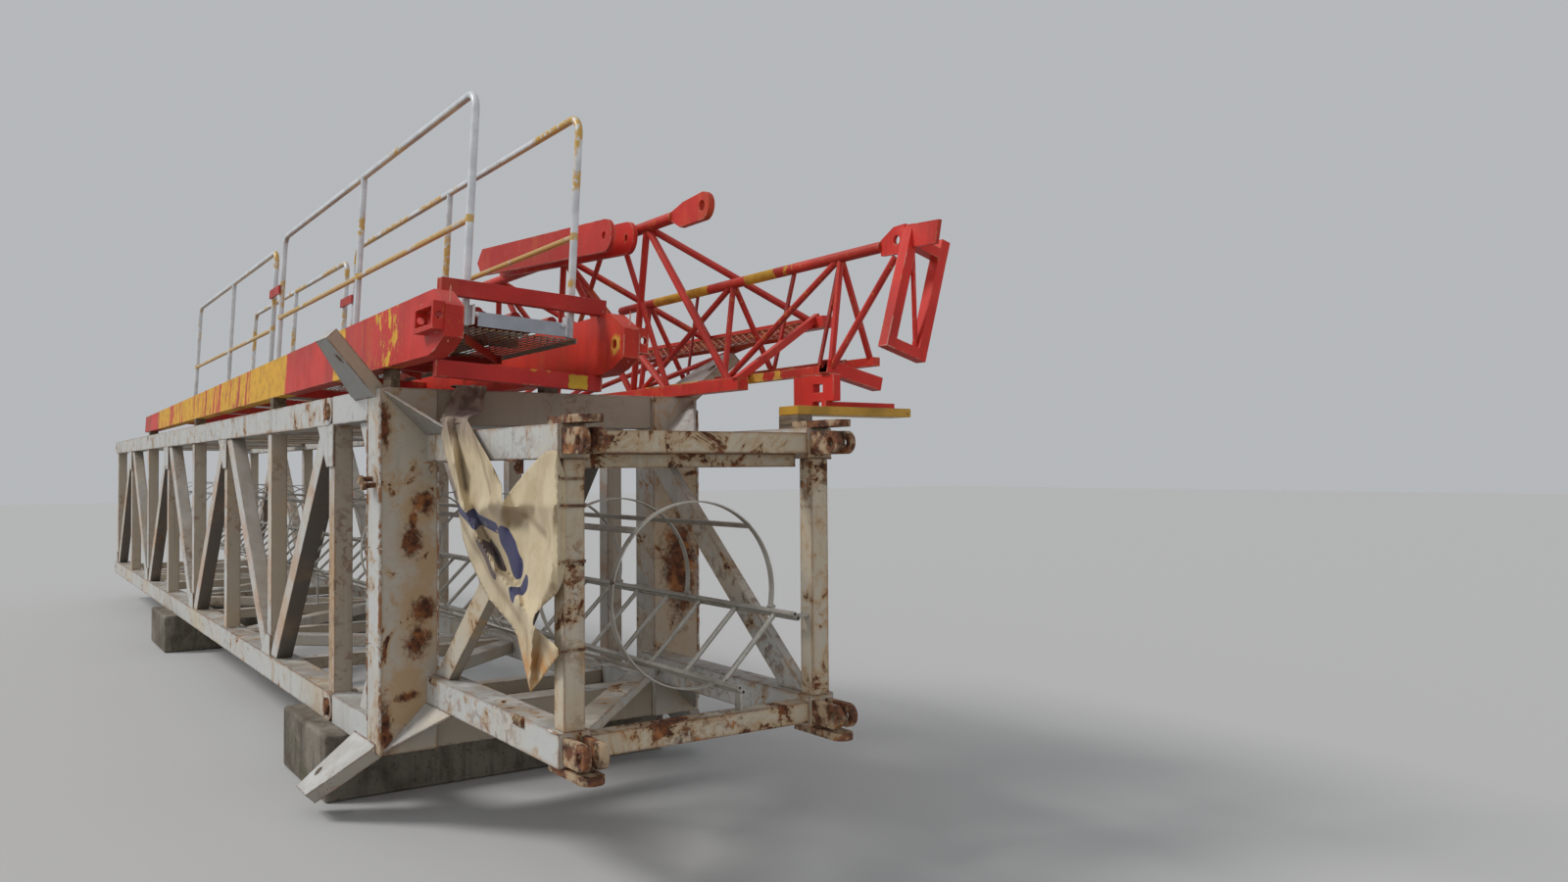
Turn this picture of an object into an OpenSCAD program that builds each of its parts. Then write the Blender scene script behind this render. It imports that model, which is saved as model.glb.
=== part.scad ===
// A dismantled tower crane stacked for storage: a wide tower section with its collar and
// a narrow bay lies on two concrete sleepers, and carries the counter-jib and the jib.
// Origin: middle of the near sleeper's ground face. +X runs along the tower to its near end.

/* [Sleepers] */
// Height of the concrete sleepers under the tower
sleeper_h = 315; // [240:5:400]
// Width of a sleeper along the tower
sleeper_w = 880; // [600:10:1000]
// How far a sleeper reaches past each side of the tower
sleeper_reach = 100; // [40:10:200]
// Distance between the middles of the two sleepers
sleeper_span = 5500; // [4500:50:6500]

/* [Tower section] */
// Outside width and height of the square section
tower_w = 1610; // [1500:10:1720]
// Length of the long section, from its pins to its far end
section_len = 10400; // [9000:50:11000]
// Number of truss bays along the long section
bays = 7; // [5:1:9]
// Side of the square corner chords
chord = 140; // [110:2:160]
// Width of the upright web members
upright_w = 105; // [70:5:130]
// Width of the sloping web members
diagonal_w = 125; // [80:5:150]
// Thickness of the web members across the wall
web_t = 90; // [50:5:110]
// Depth of the web members behind the outer face of the chords
web_inset = 12; // [5:1:25]
// Depth of the top and bottom web members behind the face of the chords
deck_inset = 30; // [15:5:45]
// Thickness of the top and bottom web members
deck_web_t = 75; // [50:5:90]
// Diameter of the section pins
pin_d = 60; // [45:1:72]
// Clearance of a pin in its bore, on the diameter
pin_fit = 0.6; // [0.4:0.1:1]
// Thickness of the two outer plates of a section joint
ear_t = 26; // [16:1:34]
// Length of the ears from the box of the chord to the middle of the pin
ear_len = 84; // [75:1:120]

/* [Collar] */
// Distance from the section pins to the near face of the collar
collar_reach = 900; // [750:10:1100]
// Depth of a collar post along the tower
post_d = 195; // [150:5:240]
// Width of a collar post across the tower
post_w = 255; // [200:5:300]
// Height of the collar's cross beams
beam_h = 165; // [120:5:220]
// Depth of the collar's cross beams along the tower
beam_d = 150; // [100:5:190]
// Length of the gussets along the tower
gusset_l = 225; // [150:5:300]
// Height of the gussets
gusset_h = 315; // [220:5:390]
// Thickness of the gussets
gusset_t = 90; // [50:5:130]
// Reach of a strut stub beyond the corner of the collar
stub_len = 308; // [220:2:420]
// Width of a strut stub at its foot
stub_foot = 340; // [260:5:380]
// Width of a strut stub at its tip
stub_tip = 180; // [130:5:220]
// Thickness of a strut stub
stub_t = 60; // [40:2:84]
// Shift of the tip of an upper strut stub towards the near end
stub_skew_top = 188; // [0:2:220]
// Shift of the tip of a lower strut stub towards the far end
stub_skew_low = 165; // [0:5:220]
// Diameter of the pin hole in a strut stub
stub_bore = 44; // [30:1:60]

/* [Near bay] */
// Length of the narrow bay beyond the collar
bay_len = 1408; // [1200:2:1650]
// Outside width and height of the narrow bay
bay_w = 1200; // [1120:10:1270]
// Side of its square corner chords
bay_chord = 124; // [90:2:140]
// Side of the square end posts and crossbars
end_bar = 82; // [60:2:100]
// Width of the bay's flat braces
brace_w = 112; // [70:2:140]
// Thickness of the bay's flat braces
brace_t = 46; // [24:2:70]
// Diameter of the pin hole in the lugs
lug_bore = 40; // [30:1:46]
// Outside radius of the lugs
lug_r = 46; // [38:1:56]
// Thickness of one lug plate
lug_t = 28; // [18:1:34]
// Clear gap between the two plates of a lug
lug_gap = 38; // [30:1:50]

/* [Ladder] */
// Distance between the rungs
rung_pitch = 295; // [250:5:330]
// Clear width between the ladder's stiles
ladder_w = 350; // [280:5:380]
// Diameter of the stiles
stile_d = 44; // [30:2:50]
// Diameter of the rungs
rung_d = 22; // [18:1:28]
// Inside diameter of the safety hoops
hoop_d = 730; // [660:10:760]
// Thickness of the hoops' flat bar
hoop_t = 6; // [4:1:10]
// Width of the hoops' flat bar
hoop_w = 32; // [20:1:40]

/* [Counter jib] */
// Length of the counter-jib girders
girder_len = 9360; // [8500:20:10000]
// Height of a girder at the far end
girder_h_far = 158; // [130:2:200]
// Height of a girder at the near end
girder_h_near = 264; // [240:2:320]
// Width of a girder
girder_w = 76; // [60:2:100]
// Distance between the outer faces of the two girders
jib_deck_w = 846; // [800:2:900]
// Depth of the slope cut under the near end of a girder
girder_cut = 60; // [40:5:100]
// Height of the counter-jib's far end above the tower
far_lift = 46; // [36:1:70]
// Rise of the counter-jib towards the near end, in degrees
rise = 0.28; // [0.1:0.02:0.6]
// Lean of the counter-jib towards the back, in degrees
lean = 3.2; // [1:0.1:4]
// Height of the end beams
end_beam_h = 70; // [50:2:80]
// Thickness of the end beams
end_beam_t = 44; // [30:2:60]
// Distance between the deck's cross beams
cross_pitch = 1160; // [900:10:1400]
// Thickness of the deck grating
grating_t = 24; // [16:1:32]

/* [Railings] */
// Height of the handrail above the girder
rail_h = 890; // [800:10:940]
// Height of the middle rail above the girder
mid_h = 342; // [280:2:400]
// How much lower the far railings stand than the near ones
far_rail_drop = 55; // [20:5:80]
// Diameter of the rail tubes
rail_d = 34; // [26:1:40]
// Bend radius at the ends of a handrail
rail_bend = 84; // [60:2:120]

/* [Jib sections] */
// Height of the jib root's triangle
root_h = 790; // [740:5:820]
// Width of the jib root's base between chord middles
root_w = 600; // [560:5:620]
// Length of the jib root section
root_len = 3150; // [3100:10:3600]
// Lean of the jib root from upright, in degrees
root_lean = 33; // [28:1:38]
// Side of the square base chords of the jib
jib_box = 60; // [50:2:66]
// Diameter of the round top chords of the jib
jib_tube = 58; // [46:1:66]
// Diameter of the round web tubes of the jib
jib_web = 36; // [28:1:44]
// Length of one lattice bay of the jib root
root_bay = 1000; // [900:10:1010]

/* [Hidden] */

// Colours
cream = [0.80, 0.78, 0.70];
red = [0.78, 0.10, 0.07];
rail_white = [0.86, 0.87, 0.88];
rust = [0.55, 0.36, 0.22];
concrete = [0.55, 0.53, 0.47];
canvas = [0.90, 0.85, 0.70];
galvanised = [0.62, 0.63, 0.62];
timber = [0.45, 0.35, 0.24];

// Gap between pieces that touch without being joined
seat = 0.3;

// Tower frame: x = 0 at the near face of the collar, y and z from the outer corner
near_overlap = 80;
collar_x = collar_reach + near_overlap;
pin_x = -collar_reach;
far_x = pin_x - section_len;
chord_end_x = pin_x - ear_len;
first_upright_x = pin_x + upright_w / 5;
last_upright_x = far_x + ear_len + upright_w / 2;
bay = (first_upright_x - last_upright_x) / bays;
inner = tower_w - chord;
bay_inset = (tower_w - bay_w) / 2;
bay_hi = bay_inset + bay_w;

function upright_at(i) = first_upright_x - i * bay;

module tower() {
    translate([collar_x, -tower_w / 2, sleeper_h]) children();
}

// Box bar between two points: w in the upright plane of the bar, t across it
module bar(a, b, w, t) {
    v = b - a;
    len = norm(v);
    translate(a) rotate([0, acos(v.z / len), atan2(v.y, v.x)])
        translate([-w / 2, -t / 2, 0]) cube([w, t, len]);
}

// Round bar between two points, drawn with n sides
module rod(a, b, d, n = 10) {
    v = b - a;
    len = norm(v);
    translate(a) rotate([0, acos(v.z / len), atan2(v.y, v.x)]) cylinder(d = d, h = len, $fn = n);
}

// Sleepers
sleeper_len = tower_w + 2 * sleeper_reach;

module sleeper() {
    color(concrete)
        translate([-sleeper_w / 2, -sleeper_len / 2, 0]) cube([sleeper_w, sleeper_len, sleeper_h]);
}

module sleeper_near() { sleeper(); }
module sleeper_far() { translate([-sleeper_span, 0, 0]) sleeper(); }

// Corner chords of the long section: a box with two ears at each end
module ear_plate(x_box, x_pin) {
    r = chord / 2;
    rotate([-90, 0, 0]) translate([0, -chord, 0])
        linear_extrude(ear_t) difference() {
            union() {
                translate([min(x_box, x_pin), 0]) square([abs(x_pin - x_box), chord]);
                translate([x_pin, r]) circle(r, $fn = 48);
            }
            translate([x_pin, r]) circle(d = pin_d + pin_fit, $fn = 48);
        }
}

module chord_bar() {
    color(cream) union() {
        translate([far_x + ear_len, 0, 0]) cube([section_len - 2 * ear_len, chord, chord]);
        for (y = [0, chord - ear_t]) translate([0, y, 0]) {
            ear_plate(chord_end_x, pin_x);
            ear_plate(far_x + ear_len, far_x);
        }
    }
}

module chord_front_top() { tower() translate([0, 0, inner]) chord_bar(); }
module chord_front_bottom() { tower() chord_bar(); }
module chord_back_top() { tower() translate([0, inner, inner]) chord_bar(); }
module chord_back_bottom() { tower() translate([0, inner, 0]) chord_bar(); }

// Web of one side: uprights with sloping members between them, drawn as an outline
module slope(x_low, x_high, h, w) {
    run = x_high - x_low;
    half = w * norm([run, h]) / h / 2;
    polygon([[x_low - half, 0], [x_low + half, 0], [x_high + half, h], [x_high - half, h]]);
}

module web_outline(phase) {
    h = tower_w - 2 * chord;
    side = (upright_w + diagonal_w) / 2;
    for (i = [0 : bays])
        translate([upright_at(i) - upright_w / 2, 0]) square([upright_w, h]);
    for (i = [0 : bays - 1]) {
        high = (i + phase) % 2;
        near = upright_at(i) - side;
        far = upright_at(i + 1) + side;
        slope(high == 0 ? far : near, high == 0 ? near : far, h, diagonal_w);
    }
}

module web(phase, t) {
    color(cream) rotate([90, 0, 0]) linear_extrude(t) web_outline(phase);
}

module web_front() { tower() translate([0, web_inset + web_t, chord]) web(0, web_t); }
module web_back() { tower() translate([0, tower_w - web_inset, chord]) web(0, web_t); }
module web_top() {
    tower() translate([0, chord, tower_w - deck_inset - deck_web_t]) rotate([-90, 0, 0])
        web(1, deck_web_t);
}
module web_bottom() {
    tower() translate([0, chord, deck_inset]) rotate([-90, 0, 0]) web(1, deck_web_t);
}

// Pins of the four joints between the long section and the collar, put in from outside
pin_head = 14;
pin_recess = 4;

module section_pin() {
    rotate([-90, 0, 0]) {
        translate([0, 0, -seat]) cylinder(d = pin_d, h = chord - pin_recess, $fn = 40);
        translate([0, 0, -pin_head - seat]) cylinder(d = pin_d + 24, h = pin_head, $fn = 40);
    }
}

module section_pins() {
    color(rust) tower() for (side = [0, 1], z = [chord / 2, tower_w - chord / 2])
        translate([pin_x, side * tower_w, z]) mirror([0, side, 0]) section_pin();
}

// Collar: four arms to the pins, two thick posts, two cross beams, gussets and strut stubs
module collar_arm() {
    tongue = chord - 2 * ear_t - 2 * seat;
    translate([pin_x + ear_len, 0, 0]) cube([collar_reach - ear_len - post_d, chord, chord]);
    rotate([-90, 0, 0]) translate([0, -chord, ear_t + seat]) linear_extrude(tongue) difference() {
        union() {
            translate([pin_x, 0]) square([ear_len, chord]);
            translate([pin_x, chord / 2]) circle(d = chord, $fn = 48);
        }
        translate([pin_x, chord / 2]) circle(d = pin_d + pin_fit, $fn = 48);
    }
}

module collar_arms() {
    color(cream) tower() for (y = [0, inner], z = [0, inner]) translate([0, y, z]) collar_arm();
}

module collar_post() {
    color(cream) translate([-post_d, 0, 0]) cube([post_d, post_w, tower_w]);
}

module collar_post_front() { tower() collar_post(); }
module collar_post_back() { tower() translate([0, tower_w - post_w, 0]) collar_post(); }

module collar_beam() {
    color(cream) translate([-post_d / 2 - beam_d / 2, post_w, 0])
        cube([beam_d, tower_w - 2 * post_w, beam_h]);
}

module collar_beams() {
    tower() for (z = [0, tower_w - beam_h]) translate([0, 0, z]) collar_beam();
}

// Three-sided gusset under or over each arm, against the far face of its post
module arm_gusset() {
    y0 = (chord - gusset_t) / 2;
    translate([-post_d, y0 + gusset_t, chord]) rotate([90, 0, 0])
        linear_extrude(gusset_t) polygon([[0, 0], [-gusset_l, 0], [0, gusset_h]]);
}

// Sloping plate from the outer corner of the collar to the chord of the narrow bay
cone_l = 330;
cone_t = 14;

module cone_plate() {
    difference() {
        rotate([45, 0, 0]) translate([0, 0, -cone_t / 2])
            linear_extrude(cone_t) polygon([
                [0, 20], [0, bay_inset * sqrt(2)], [cone_l, bay_inset * sqrt(2)]
            ]);
        translate([-1, bay_inset, bay_inset]) cube([cone_l + 2, bay_chord, bay_chord]);
    }
}

// Copies a piece drawn at the lower front corner to all four corners of the square
module four_corners() {
    for (flip_y = [0, 1], flip_z = [0, 1])
        translate([0, flip_y * tower_w, flip_z * tower_w])
            mirror([0, flip_y, 0]) mirror([0, 0, flip_z]) children();
}

module collar_gussets() {
    color(cream) tower() four_corners() {
        arm_gusset();
        cone_plate();
    }
}

// Flat stub for a diagonal strut, drawn outward from the lower front corner
module strut_stub(skew) {
    foot_x = -60 - stub_foot;
    tip_x = -60 - (stub_foot + stub_tip) / 2 + skew;
    start = -stub_t;
    difference() {
        rotate([-135, 0, 0]) translate([0, 0, -stub_t / 2]) linear_extrude(stub_t) difference() {
            polygon([
                [foot_x, start], [foot_x + stub_foot, start], [foot_x + stub_foot, 0],
                [tip_x + stub_tip, stub_len], [tip_x, stub_len], [foot_x, 0]
            ]);
            translate([tip_x + stub_tip / 2, stub_len - 110]) circle(d = stub_bore, $fn = 40);
        }
        translate([-post_d * 4, 0, 0]) cube([post_d * 6, tower_w, tower_w]);
    }
}

module strut_stubs() {
    color(cream) tower() {
        for (flip_y = [0, 1], flip_z = [0, 1])
            translate([0, flip_y * tower_w, flip_z * tower_w])
                mirror([0, flip_y, 0]) mirror([0, 0, flip_z])
                    strut_stub(flip_z == 1 ? stub_skew_top : -stub_skew_low);
    }
}

// Near bay
bay_end_x = bay_len - end_bar;
chord_lo = bay_inset;
chord_hi = bay_hi - bay_chord;

module bay_chords() {
    color(cream) tower() for (y = [chord_lo, chord_hi], z = [chord_lo, chord_hi])
        translate([0, y, z]) cube([bay_len, bay_chord, bay_chord]);
}

brace_in = (bay_chord - brace_t) / 2;
post_in = (bay_chord - end_bar) / 2;
clear_lo = chord_lo + bay_chord;
clear_hi = chord_hi;
clear_w = clear_hi - clear_lo;

module bay_slope(rising) {
    half = brace_w * 0.8;
    linear_extrude(brace_t)
        slope(rising ? half : bay_end_x - half, rising ? bay_end_x - half : half, clear_w, brace_w);
}

module bay_braces() {
    color(cream) tower() {
        translate([0, chord_lo + brace_in + brace_t, clear_lo]) rotate([90, 0, 0]) bay_slope(true);
        translate([0, chord_hi + brace_in + brace_t, clear_lo]) rotate([90, 0, 0]) bay_slope(false);
        translate([0, clear_lo, chord_lo + brace_in]) bay_slope(false);
        translate([0, clear_lo, chord_hi + brace_in]) bay_slope(true);
    }
}

module bay_end_posts() {
    color(cream) tower() for (y = [chord_lo, chord_hi])
        translate([bay_end_x, y + post_in, clear_lo]) cube([end_bar, end_bar, clear_w]);
}

under_bar = 55;

module bay_crossbars() {
    color(rust) tower() {
        for (z = [chord_lo, chord_hi])
            translate([bay_end_x, clear_lo, z + post_in]) cube([end_bar, clear_w, end_bar]);
        translate([bay_end_x - under_bar, clear_lo, chord_hi + post_in - under_bar])
            cube([under_bar, clear_w, under_bar]);
    }
}

// Twin ears with their pin axis across the tower, and one flat ear above or below the chord
lug_len = 130;

module ear_outline(len, r, bore) {
    difference() {
        union() {
            translate([0, -r]) square([len, 2 * r]);
            translate([len, 0]) circle(r, $fn = 40);
        }
        translate([len, 0]) circle(d = bore, $fn = 40);
    }
}

module corner_lug(up) {
    mid = bay_chord / 2;
    pair = lug_gap + 2 * lug_t;
    for (y = [mid - pair / 2, mid + pair / 2 - lug_t])
        translate([0, y + lug_t, mid]) rotate([90, 0, 0])
            linear_extrude(lug_t) ear_outline(lug_len, lug_r, lug_bore);
    translate([-bay_chord, mid, up ? bay_chord : -lug_t])
        linear_extrude(lug_t) ear_outline(lug_len + bay_chord, lug_r, lug_bore);
}

module lugs() {
    color(rust) tower() for (y = [chord_lo, chord_hi]) {
        translate([bay_len, y, chord_lo]) corner_lug(false);
        translate([bay_len, y, chord_hi]) corner_lug(true);
    }
}

// Ladder in the lower back corner of the tower, with its hoops around the climbing space
hoop_y = 880;
hoop_z = 745;
ladder_reach = sqrt(pow(hoop_d / 2, 2) - pow(ladder_w / 2, 2));
stile_w = 22;
stile_mid = (ladder_w + stile_w) / 2;
ladder_near_x = bay_len - 20;
rung_count = floor((ladder_near_x - far_x - 60) / rung_pitch);
ladder_len = rung_pitch * rung_count;
low_stile = [hoop_y + (ladder_reach - stile_mid) / sqrt(2), hoop_z - (ladder_reach + stile_mid) / sqrt(2)];
high_stile = [hoop_y + (ladder_reach + stile_mid) / sqrt(2), hoop_z - (ladder_reach - stile_mid) / sqrt(2)];
strap_w = 40;
strap_t = 12;

// Ladder frame: the rungs run along y, the hoops stand towards +z
module ladder_frame() {
    tower() translate([0, hoop_y, hoop_z]) rotate([45, 0, 0]) translate([0, 0, -ladder_reach])
        children();
}

// Two straps that carry the ladder: one down to z_low, one back to y_back
module strap_pair(x, z_low, y_back) {
    translate([x - strap_w / 2, low_stile.x - strap_t / 2, z_low])
        cube([strap_w, strap_t, low_stile.y - z_low]);
    translate([x - strap_w / 2, high_stile.x, high_stile.y - strap_t / 2])
        cube([strap_w, y_back - high_stile.x, strap_t]);
}

module ladder_shape() {
    ladder_frame() {
        for (side = [-1, 1])
            translate([ladder_near_x - ladder_len, side * stile_mid - stile_w / 2, -stile_d / 2])
                cube([ladder_len, stile_w, stile_d]);
        for (i = [0 : rung_count - 1])
            translate([ladder_near_x - (i + 0.5) * rung_pitch, -ladder_w / 2, 0])
                rotate([-90, 0, 0]) cylinder(d = rung_d, h = ladder_w, $fn = 8);
    }
}

module ladder() { color(galvanised) ladder_shape(); }

module ladder_straps() {
    color(galvanised) difference() {
        tower() {
            strap_pair(bay_end_x + end_bar / 2, chord_lo + post_in + end_bar, chord_hi + post_in);
            strap_pair(-post_d / 2, beam_h, tower_w - post_w);
            for (i = [1 : 2 : bays - 1])
                strap_pair(upright_at(i), deck_inset + deck_web_t, tower_w - web_inset - web_t);
        }
        ladder_shape();
    }
}

hoop_pitch = 680;
hoop_first_x = bay_len - 210;
hoop_count = floor((hoop_first_x - far_x - 100) / hoop_pitch);
hoop_bar_w = 30;

module hoop_outline() {
    edge = ladder_w / 2 + stile_w;
    difference() {
        translate([0, ladder_reach]) difference() {
            circle(r = hoop_d / 2 + hoop_t, $fn = 64);
            circle(r = hoop_d / 2, $fn = 64);
        }
        translate([-edge, -hoop_d]) square([2 * edge, hoop_d + stile_d / 2]);
    }
    for (side = [-1, 1])
        translate([side * (edge + 10) - 10, 0]) square([20, stile_d / 2 - 2]);
}

module ladder_hoops() {
    color(galvanised) ladder_frame() {
        for (i = [0 : hoop_count])
            translate([hoop_first_x - i * hoop_pitch - hoop_w / 2, 0, 0])
                rotate([90, 0, 90]) linear_extrude(hoop_w) hoop_outline();
        for (angle = [0, 90, 180])
            translate([hoop_first_x - hoop_count * hoop_pitch, 0, ladder_reach])
                rotate([angle, 0, 0]) translate([0, hoop_d / 2 + hoop_t / 2, -hoop_bar_w / 2])
                    cube([hoop_count * hoop_pitch, hoop_t, hoop_bar_w]);
    }
}

// Canvas sheet: gathered over the collar's top beam, laid over the bay's front top chord and
// hanging in front of it, tied to the front end post
sheet_t = 26;
sheet_y = chord_lo - sheet_t - 2;
sheet_top = bay_hi + seat;
gather_w = 160;
gather_y = post_w + 75;
beam_near_x = (beam_d - post_d) / 2;
sheet_x = 370;
sheet_fold_l = 440;
sheet_outline = [
    [sheet_x, sheet_top + sheet_t], [sheet_x + sheet_fold_l, sheet_top + sheet_t],
    [1020, bay_hi - 145], [bay_end_x - 10, bay_hi - 105], [bay_end_x - 6, bay_hi - 575],
    [bay_end_x - 30, bay_hi - 845], [1300, bay_hi - 935], [1150, bay_hi - 845],
    [900, bay_hi - 685], [660, bay_hi - 475], [500, bay_hi - 255], [400, bay_hi - 75]
];

module banner() {
    color(canvas) tower() {
        translate([0, sheet_y + sheet_t, 0]) rotate([90, 0, 0]) linear_extrude(sheet_t)
            polygon(sheet_outline);
        translate([sheet_x, sheet_y, sheet_top]) cube([sheet_fold_l, bay_chord + sheet_t, sheet_t]);
        bar([beam_near_x + sheet_t, gather_y + gather_w / 2, tower_w + sheet_t / 2],
            [sheet_x + 70, chord_lo + bay_chord / 2, sheet_top + sheet_t / 2], sheet_t, gather_w);
        translate([-post_d / 2, gather_y, tower_w + seat])
            cube([post_d / 2 + sheet_t, gather_w, sheet_t]);
    }
}

// Counter-jib: drawn level with its far lower front corner at the origin, then set down
girder_near_x = 760;
girder_y = 22;

module counter_jib() {
    tower() translate([girder_near_x - girder_len, girder_y, tower_w + far_lift])
        rotate([-lean, -rise, 0]) children();
}

// Girder: the near end narrows to a nose with a pin hole
flat_end = 235;
nose_x = girder_len - 150;
cut_start = 180;
nose_h = 185;
root_hole_x = girder_len - 89;
root_hole_z = (girder_cut + nose_h) / 2;
root_hole_d = 44;

module girder_outline() {
    polygon([
        [0, 0], [girder_len - cut_start, 0], [girder_len - cut_start / 2, girder_cut / 3],
        [girder_len, girder_cut], [girder_len, nose_h],
        [nose_x, girder_h_near], [girder_len - flat_end, girder_h_near], [0, girder_h_far]
    ]);
}

// Open bracket on the outer face of a girder's near end
bracket_l = 235;
bracket_h = 110;
bracket_z = 85;
bracket_w = 46;
bracket_t = 20;
bracket_bore = 30;

module bracket() {
    translate([girder_len - bracket_l - 8, 0, bracket_z]) difference() {
        cube([bracket_l, bracket_w, bracket_h]);
        translate([bracket_t, -1, bracket_t])
            cube([bracket_l - 2 * bracket_t, bracket_w + 2, bracket_h - 2 * bracket_t]);
        translate([-1, bracket_w / 2, bracket_h / 2]) rotate([0, 90, 0])
            cylinder(d = bracket_bore, h = bracket_l + 2, $fn = 32);
    }
}

module girder(outer) {
    color(red) {
        translate([0, girder_w, 0]) rotate([90, 0, 0]) linear_extrude(girder_w) difference() {
            girder_outline();
            translate([root_hole_x, root_hole_z]) circle(d = root_hole_d, $fn = 40);
        }
        translate([0, outer < 0 ? -bracket_w : girder_w, 0]) bracket();
    }
}

module girder_front() { counter_jib() girder(-1); }
module girder_back() { counter_jib() translate([0, jib_deck_w - girder_w, 0]) girder(1); }

clear_y = jib_deck_w - 2 * girder_w;
cross_h = 60;
deck_z = 130;
deck_y = 164;
deck_w = 510;
deck_near_x = girder_len - 262;
cross_count = floor((girder_len - cut_start) / cross_pitch);

module deck_cross_beams() {
    // The near bay is open below the grating, so the count starts one pitch in
    color(red) counter_jib() for (i = [1 : cross_count])
        translate([girder_len - 340 - i * cross_pitch, girder_w, deck_z - cross_h])
            cube([60, clear_y, cross_h]);
}

module deck_grating() {
    color(galvanised) counter_jib()
        translate([60, deck_y, deck_z]) cube([deck_near_x - 60, deck_w, grating_t]);
}

upper_x = girder_len - 279;
lower_x = girder_len - 314;
upper_y = 57;
lower_y = 65;
beam_len = 740;

module end_beams() {
    color(red) counter_jib() {
        translate([upper_x, upper_y, girder_h_near]) cube([end_beam_t, beam_len, end_beam_h]);
        translate([lower_x, lower_y, -end_beam_h]) cube([end_beam_t, beam_len, end_beam_h]);
    }
}

toe_t = 8;
toe_h = 60;

module toe_plate() {
    color([0.70, 0.72, 0.74]) counter_jib()
        translate([deck_near_x - toe_t, deck_y + 62, deck_z + grating_t])
            cube([toe_t, deck_w - 94, toe_h]);
}

// Handrail on its posts: a top rail with round bends and a middle rail
module bend() {
    rotate([90, 0, 0]) rotate_extrude(angle = 90, $fn = 48)
        translate([rail_bend, 0]) circle(d = rail_d, $fn = 24);
}

module handrail(posts, h, mid) {
    last = len(posts) - 1;
    near = posts[0];
    far = posts[last];
    foot = deck_z + grating_t + seat - girder_h_near;
    for (i = [0, last])
        translate([posts[i], 0, foot]) cylinder(d = rail_d, h = h - rail_bend - foot, $fn = 24);
    translate([near - rail_bend, 0, h - rail_bend]) bend();
    translate([far + rail_bend, 0, h - rail_bend]) mirror([1, 0, 0]) bend();
    translate([far + rail_bend, 0, h]) rotate([0, 90, 0])
        cylinder(d = rail_d, h = near - far - 2 * rail_bend, $fn = 24);
    translate([far, 0, mid]) rotate([0, 90, 0])
        cylinder(d = rail_d * 0.8, h = near - far, $fn = 24);
    translate([posts[1], 0, foot]) cylinder(d = rail_d, h = h - foot, $fn = 24);
}

front_rail_y = 182;
back_rail_y = 655;
rail_inset = 300;
near_gaps = [1700, 1920];
rail_break = 240;
far_gaps = [1600, 1660];
near_start = girder_len - rail_inset;
far_start = near_start - near_gaps[0] - near_gaps[1] - rail_break;
near_posts = [near_start, near_start - near_gaps[0], near_start - near_gaps[0] - near_gaps[1]];
far_posts = [far_start, far_start - far_gaps[0], far_start - far_gaps[0] - far_gaps[1]];

// The railings are drawn with z = 0 at the top of the girders' near end
module railing(y) {
    color(rail_white) counter_jib() translate([0, y, girder_h_near]) {
        handrail(near_posts, rail_h, mid_h);
        handrail(far_posts, rail_h - far_rail_drop, mid_h - far_rail_drop);
    }
}

module railing_front() { railing(front_rail_y); }
module railing_back() { railing(back_rail_y); }

clamp_h = 60;
clamp_t = 12;
clamp_z = 500;
clamp_over = 28;

module rail_clamps() {
    color(red) counter_jib() for (y = [front_rail_y, back_rail_y])
        translate([
            far_posts[0] - clamp_over, y - rail_d / 2 - clamp_t - seat, girder_h_near + clamp_z
        ]) cube([near_posts[2] - far_posts[0] + 2 * clamp_over, clamp_t, clamp_h]);
}

// Red bars lying side by side on two crosspieces on the deck, behind the toe plate
bar_d = 48;
bar_len = 3080;
bar_pitch = 56;
bar_count = 7;
bar_y = deck_y + 84;
bar_rest_h = 46;
bar_rest_w = 60;
rest_near = 500;
rest_far = 300;

module tie_bars() {
    z = deck_z + grating_t + seat;
    color(red) counter_jib() {
        for (i = [0 : bar_count - 1])
            translate([
                deck_near_x - bar_len - 70 - 90 * (i % 3), bar_y + i * bar_pitch,
                z + bar_rest_h + bar_d / 2 - 2
            ]) rotate([0, 90, 0]) cylinder(d = bar_d, h = bar_len, $fn = 12);
        for (x = [rest_near, bar_len - rest_far])
            translate([deck_near_x - x - bar_rest_w, bar_y - bar_d / 2, z])
                cube([bar_rest_w, (bar_count - 1) * bar_pitch + bar_d, bar_rest_h]);
    }
}

// Tie link with a forked end, lying against the top chord of the jib root
link_len = 1790;
link_h = 165;
link_near_x = -50;
link_slope = 3.95;
cheek_t = 24;
link_w = 150;
link_drop = 41;
link_bore = 40;

module tie_link() {
    back_y = root_apex.x - jib_tube / 2 - seat;
    r = link_h / 2;
    color(red) tower() translate([link_near_x - r, back_y - link_w, root_apex.y - link_drop])
        rotate([0, link_slope, 0]) {
            for (y = [0, link_w - cheek_t]) translate([0, y + cheek_t, 0]) rotate([90, 0, 0])
                linear_extrude(cheek_t) difference() {
                    union() {
                        circle(r, $fn = 48);
                        polygon([[0, -r], [0, r], [-link_len + r, r], [-link_len, 0], [-link_len + r, -r]]);
                    }
                    circle(d = link_bore, $fn = 40);
                }
            for (x = [-link_len + 200, -link_len / 2, -300])
                translate([x, cheek_t, -r / 2]) cube([60, link_w - 2 * cheek_t, r]);
        }
}

// Packers under the counter-jib's girders, under the jib tip and under the bearer
module packer(x, y, z, l, w) {
    difference() {
        tower() translate([x - l / 2, y, z + seat]) cube([l, w, 200]);
        counter_jib() translate([-100, -200, -seat]) cube([girder_len + 200, jib_deck_w + 400, 400]);
    }
}

stub_clear = 36;

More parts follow.
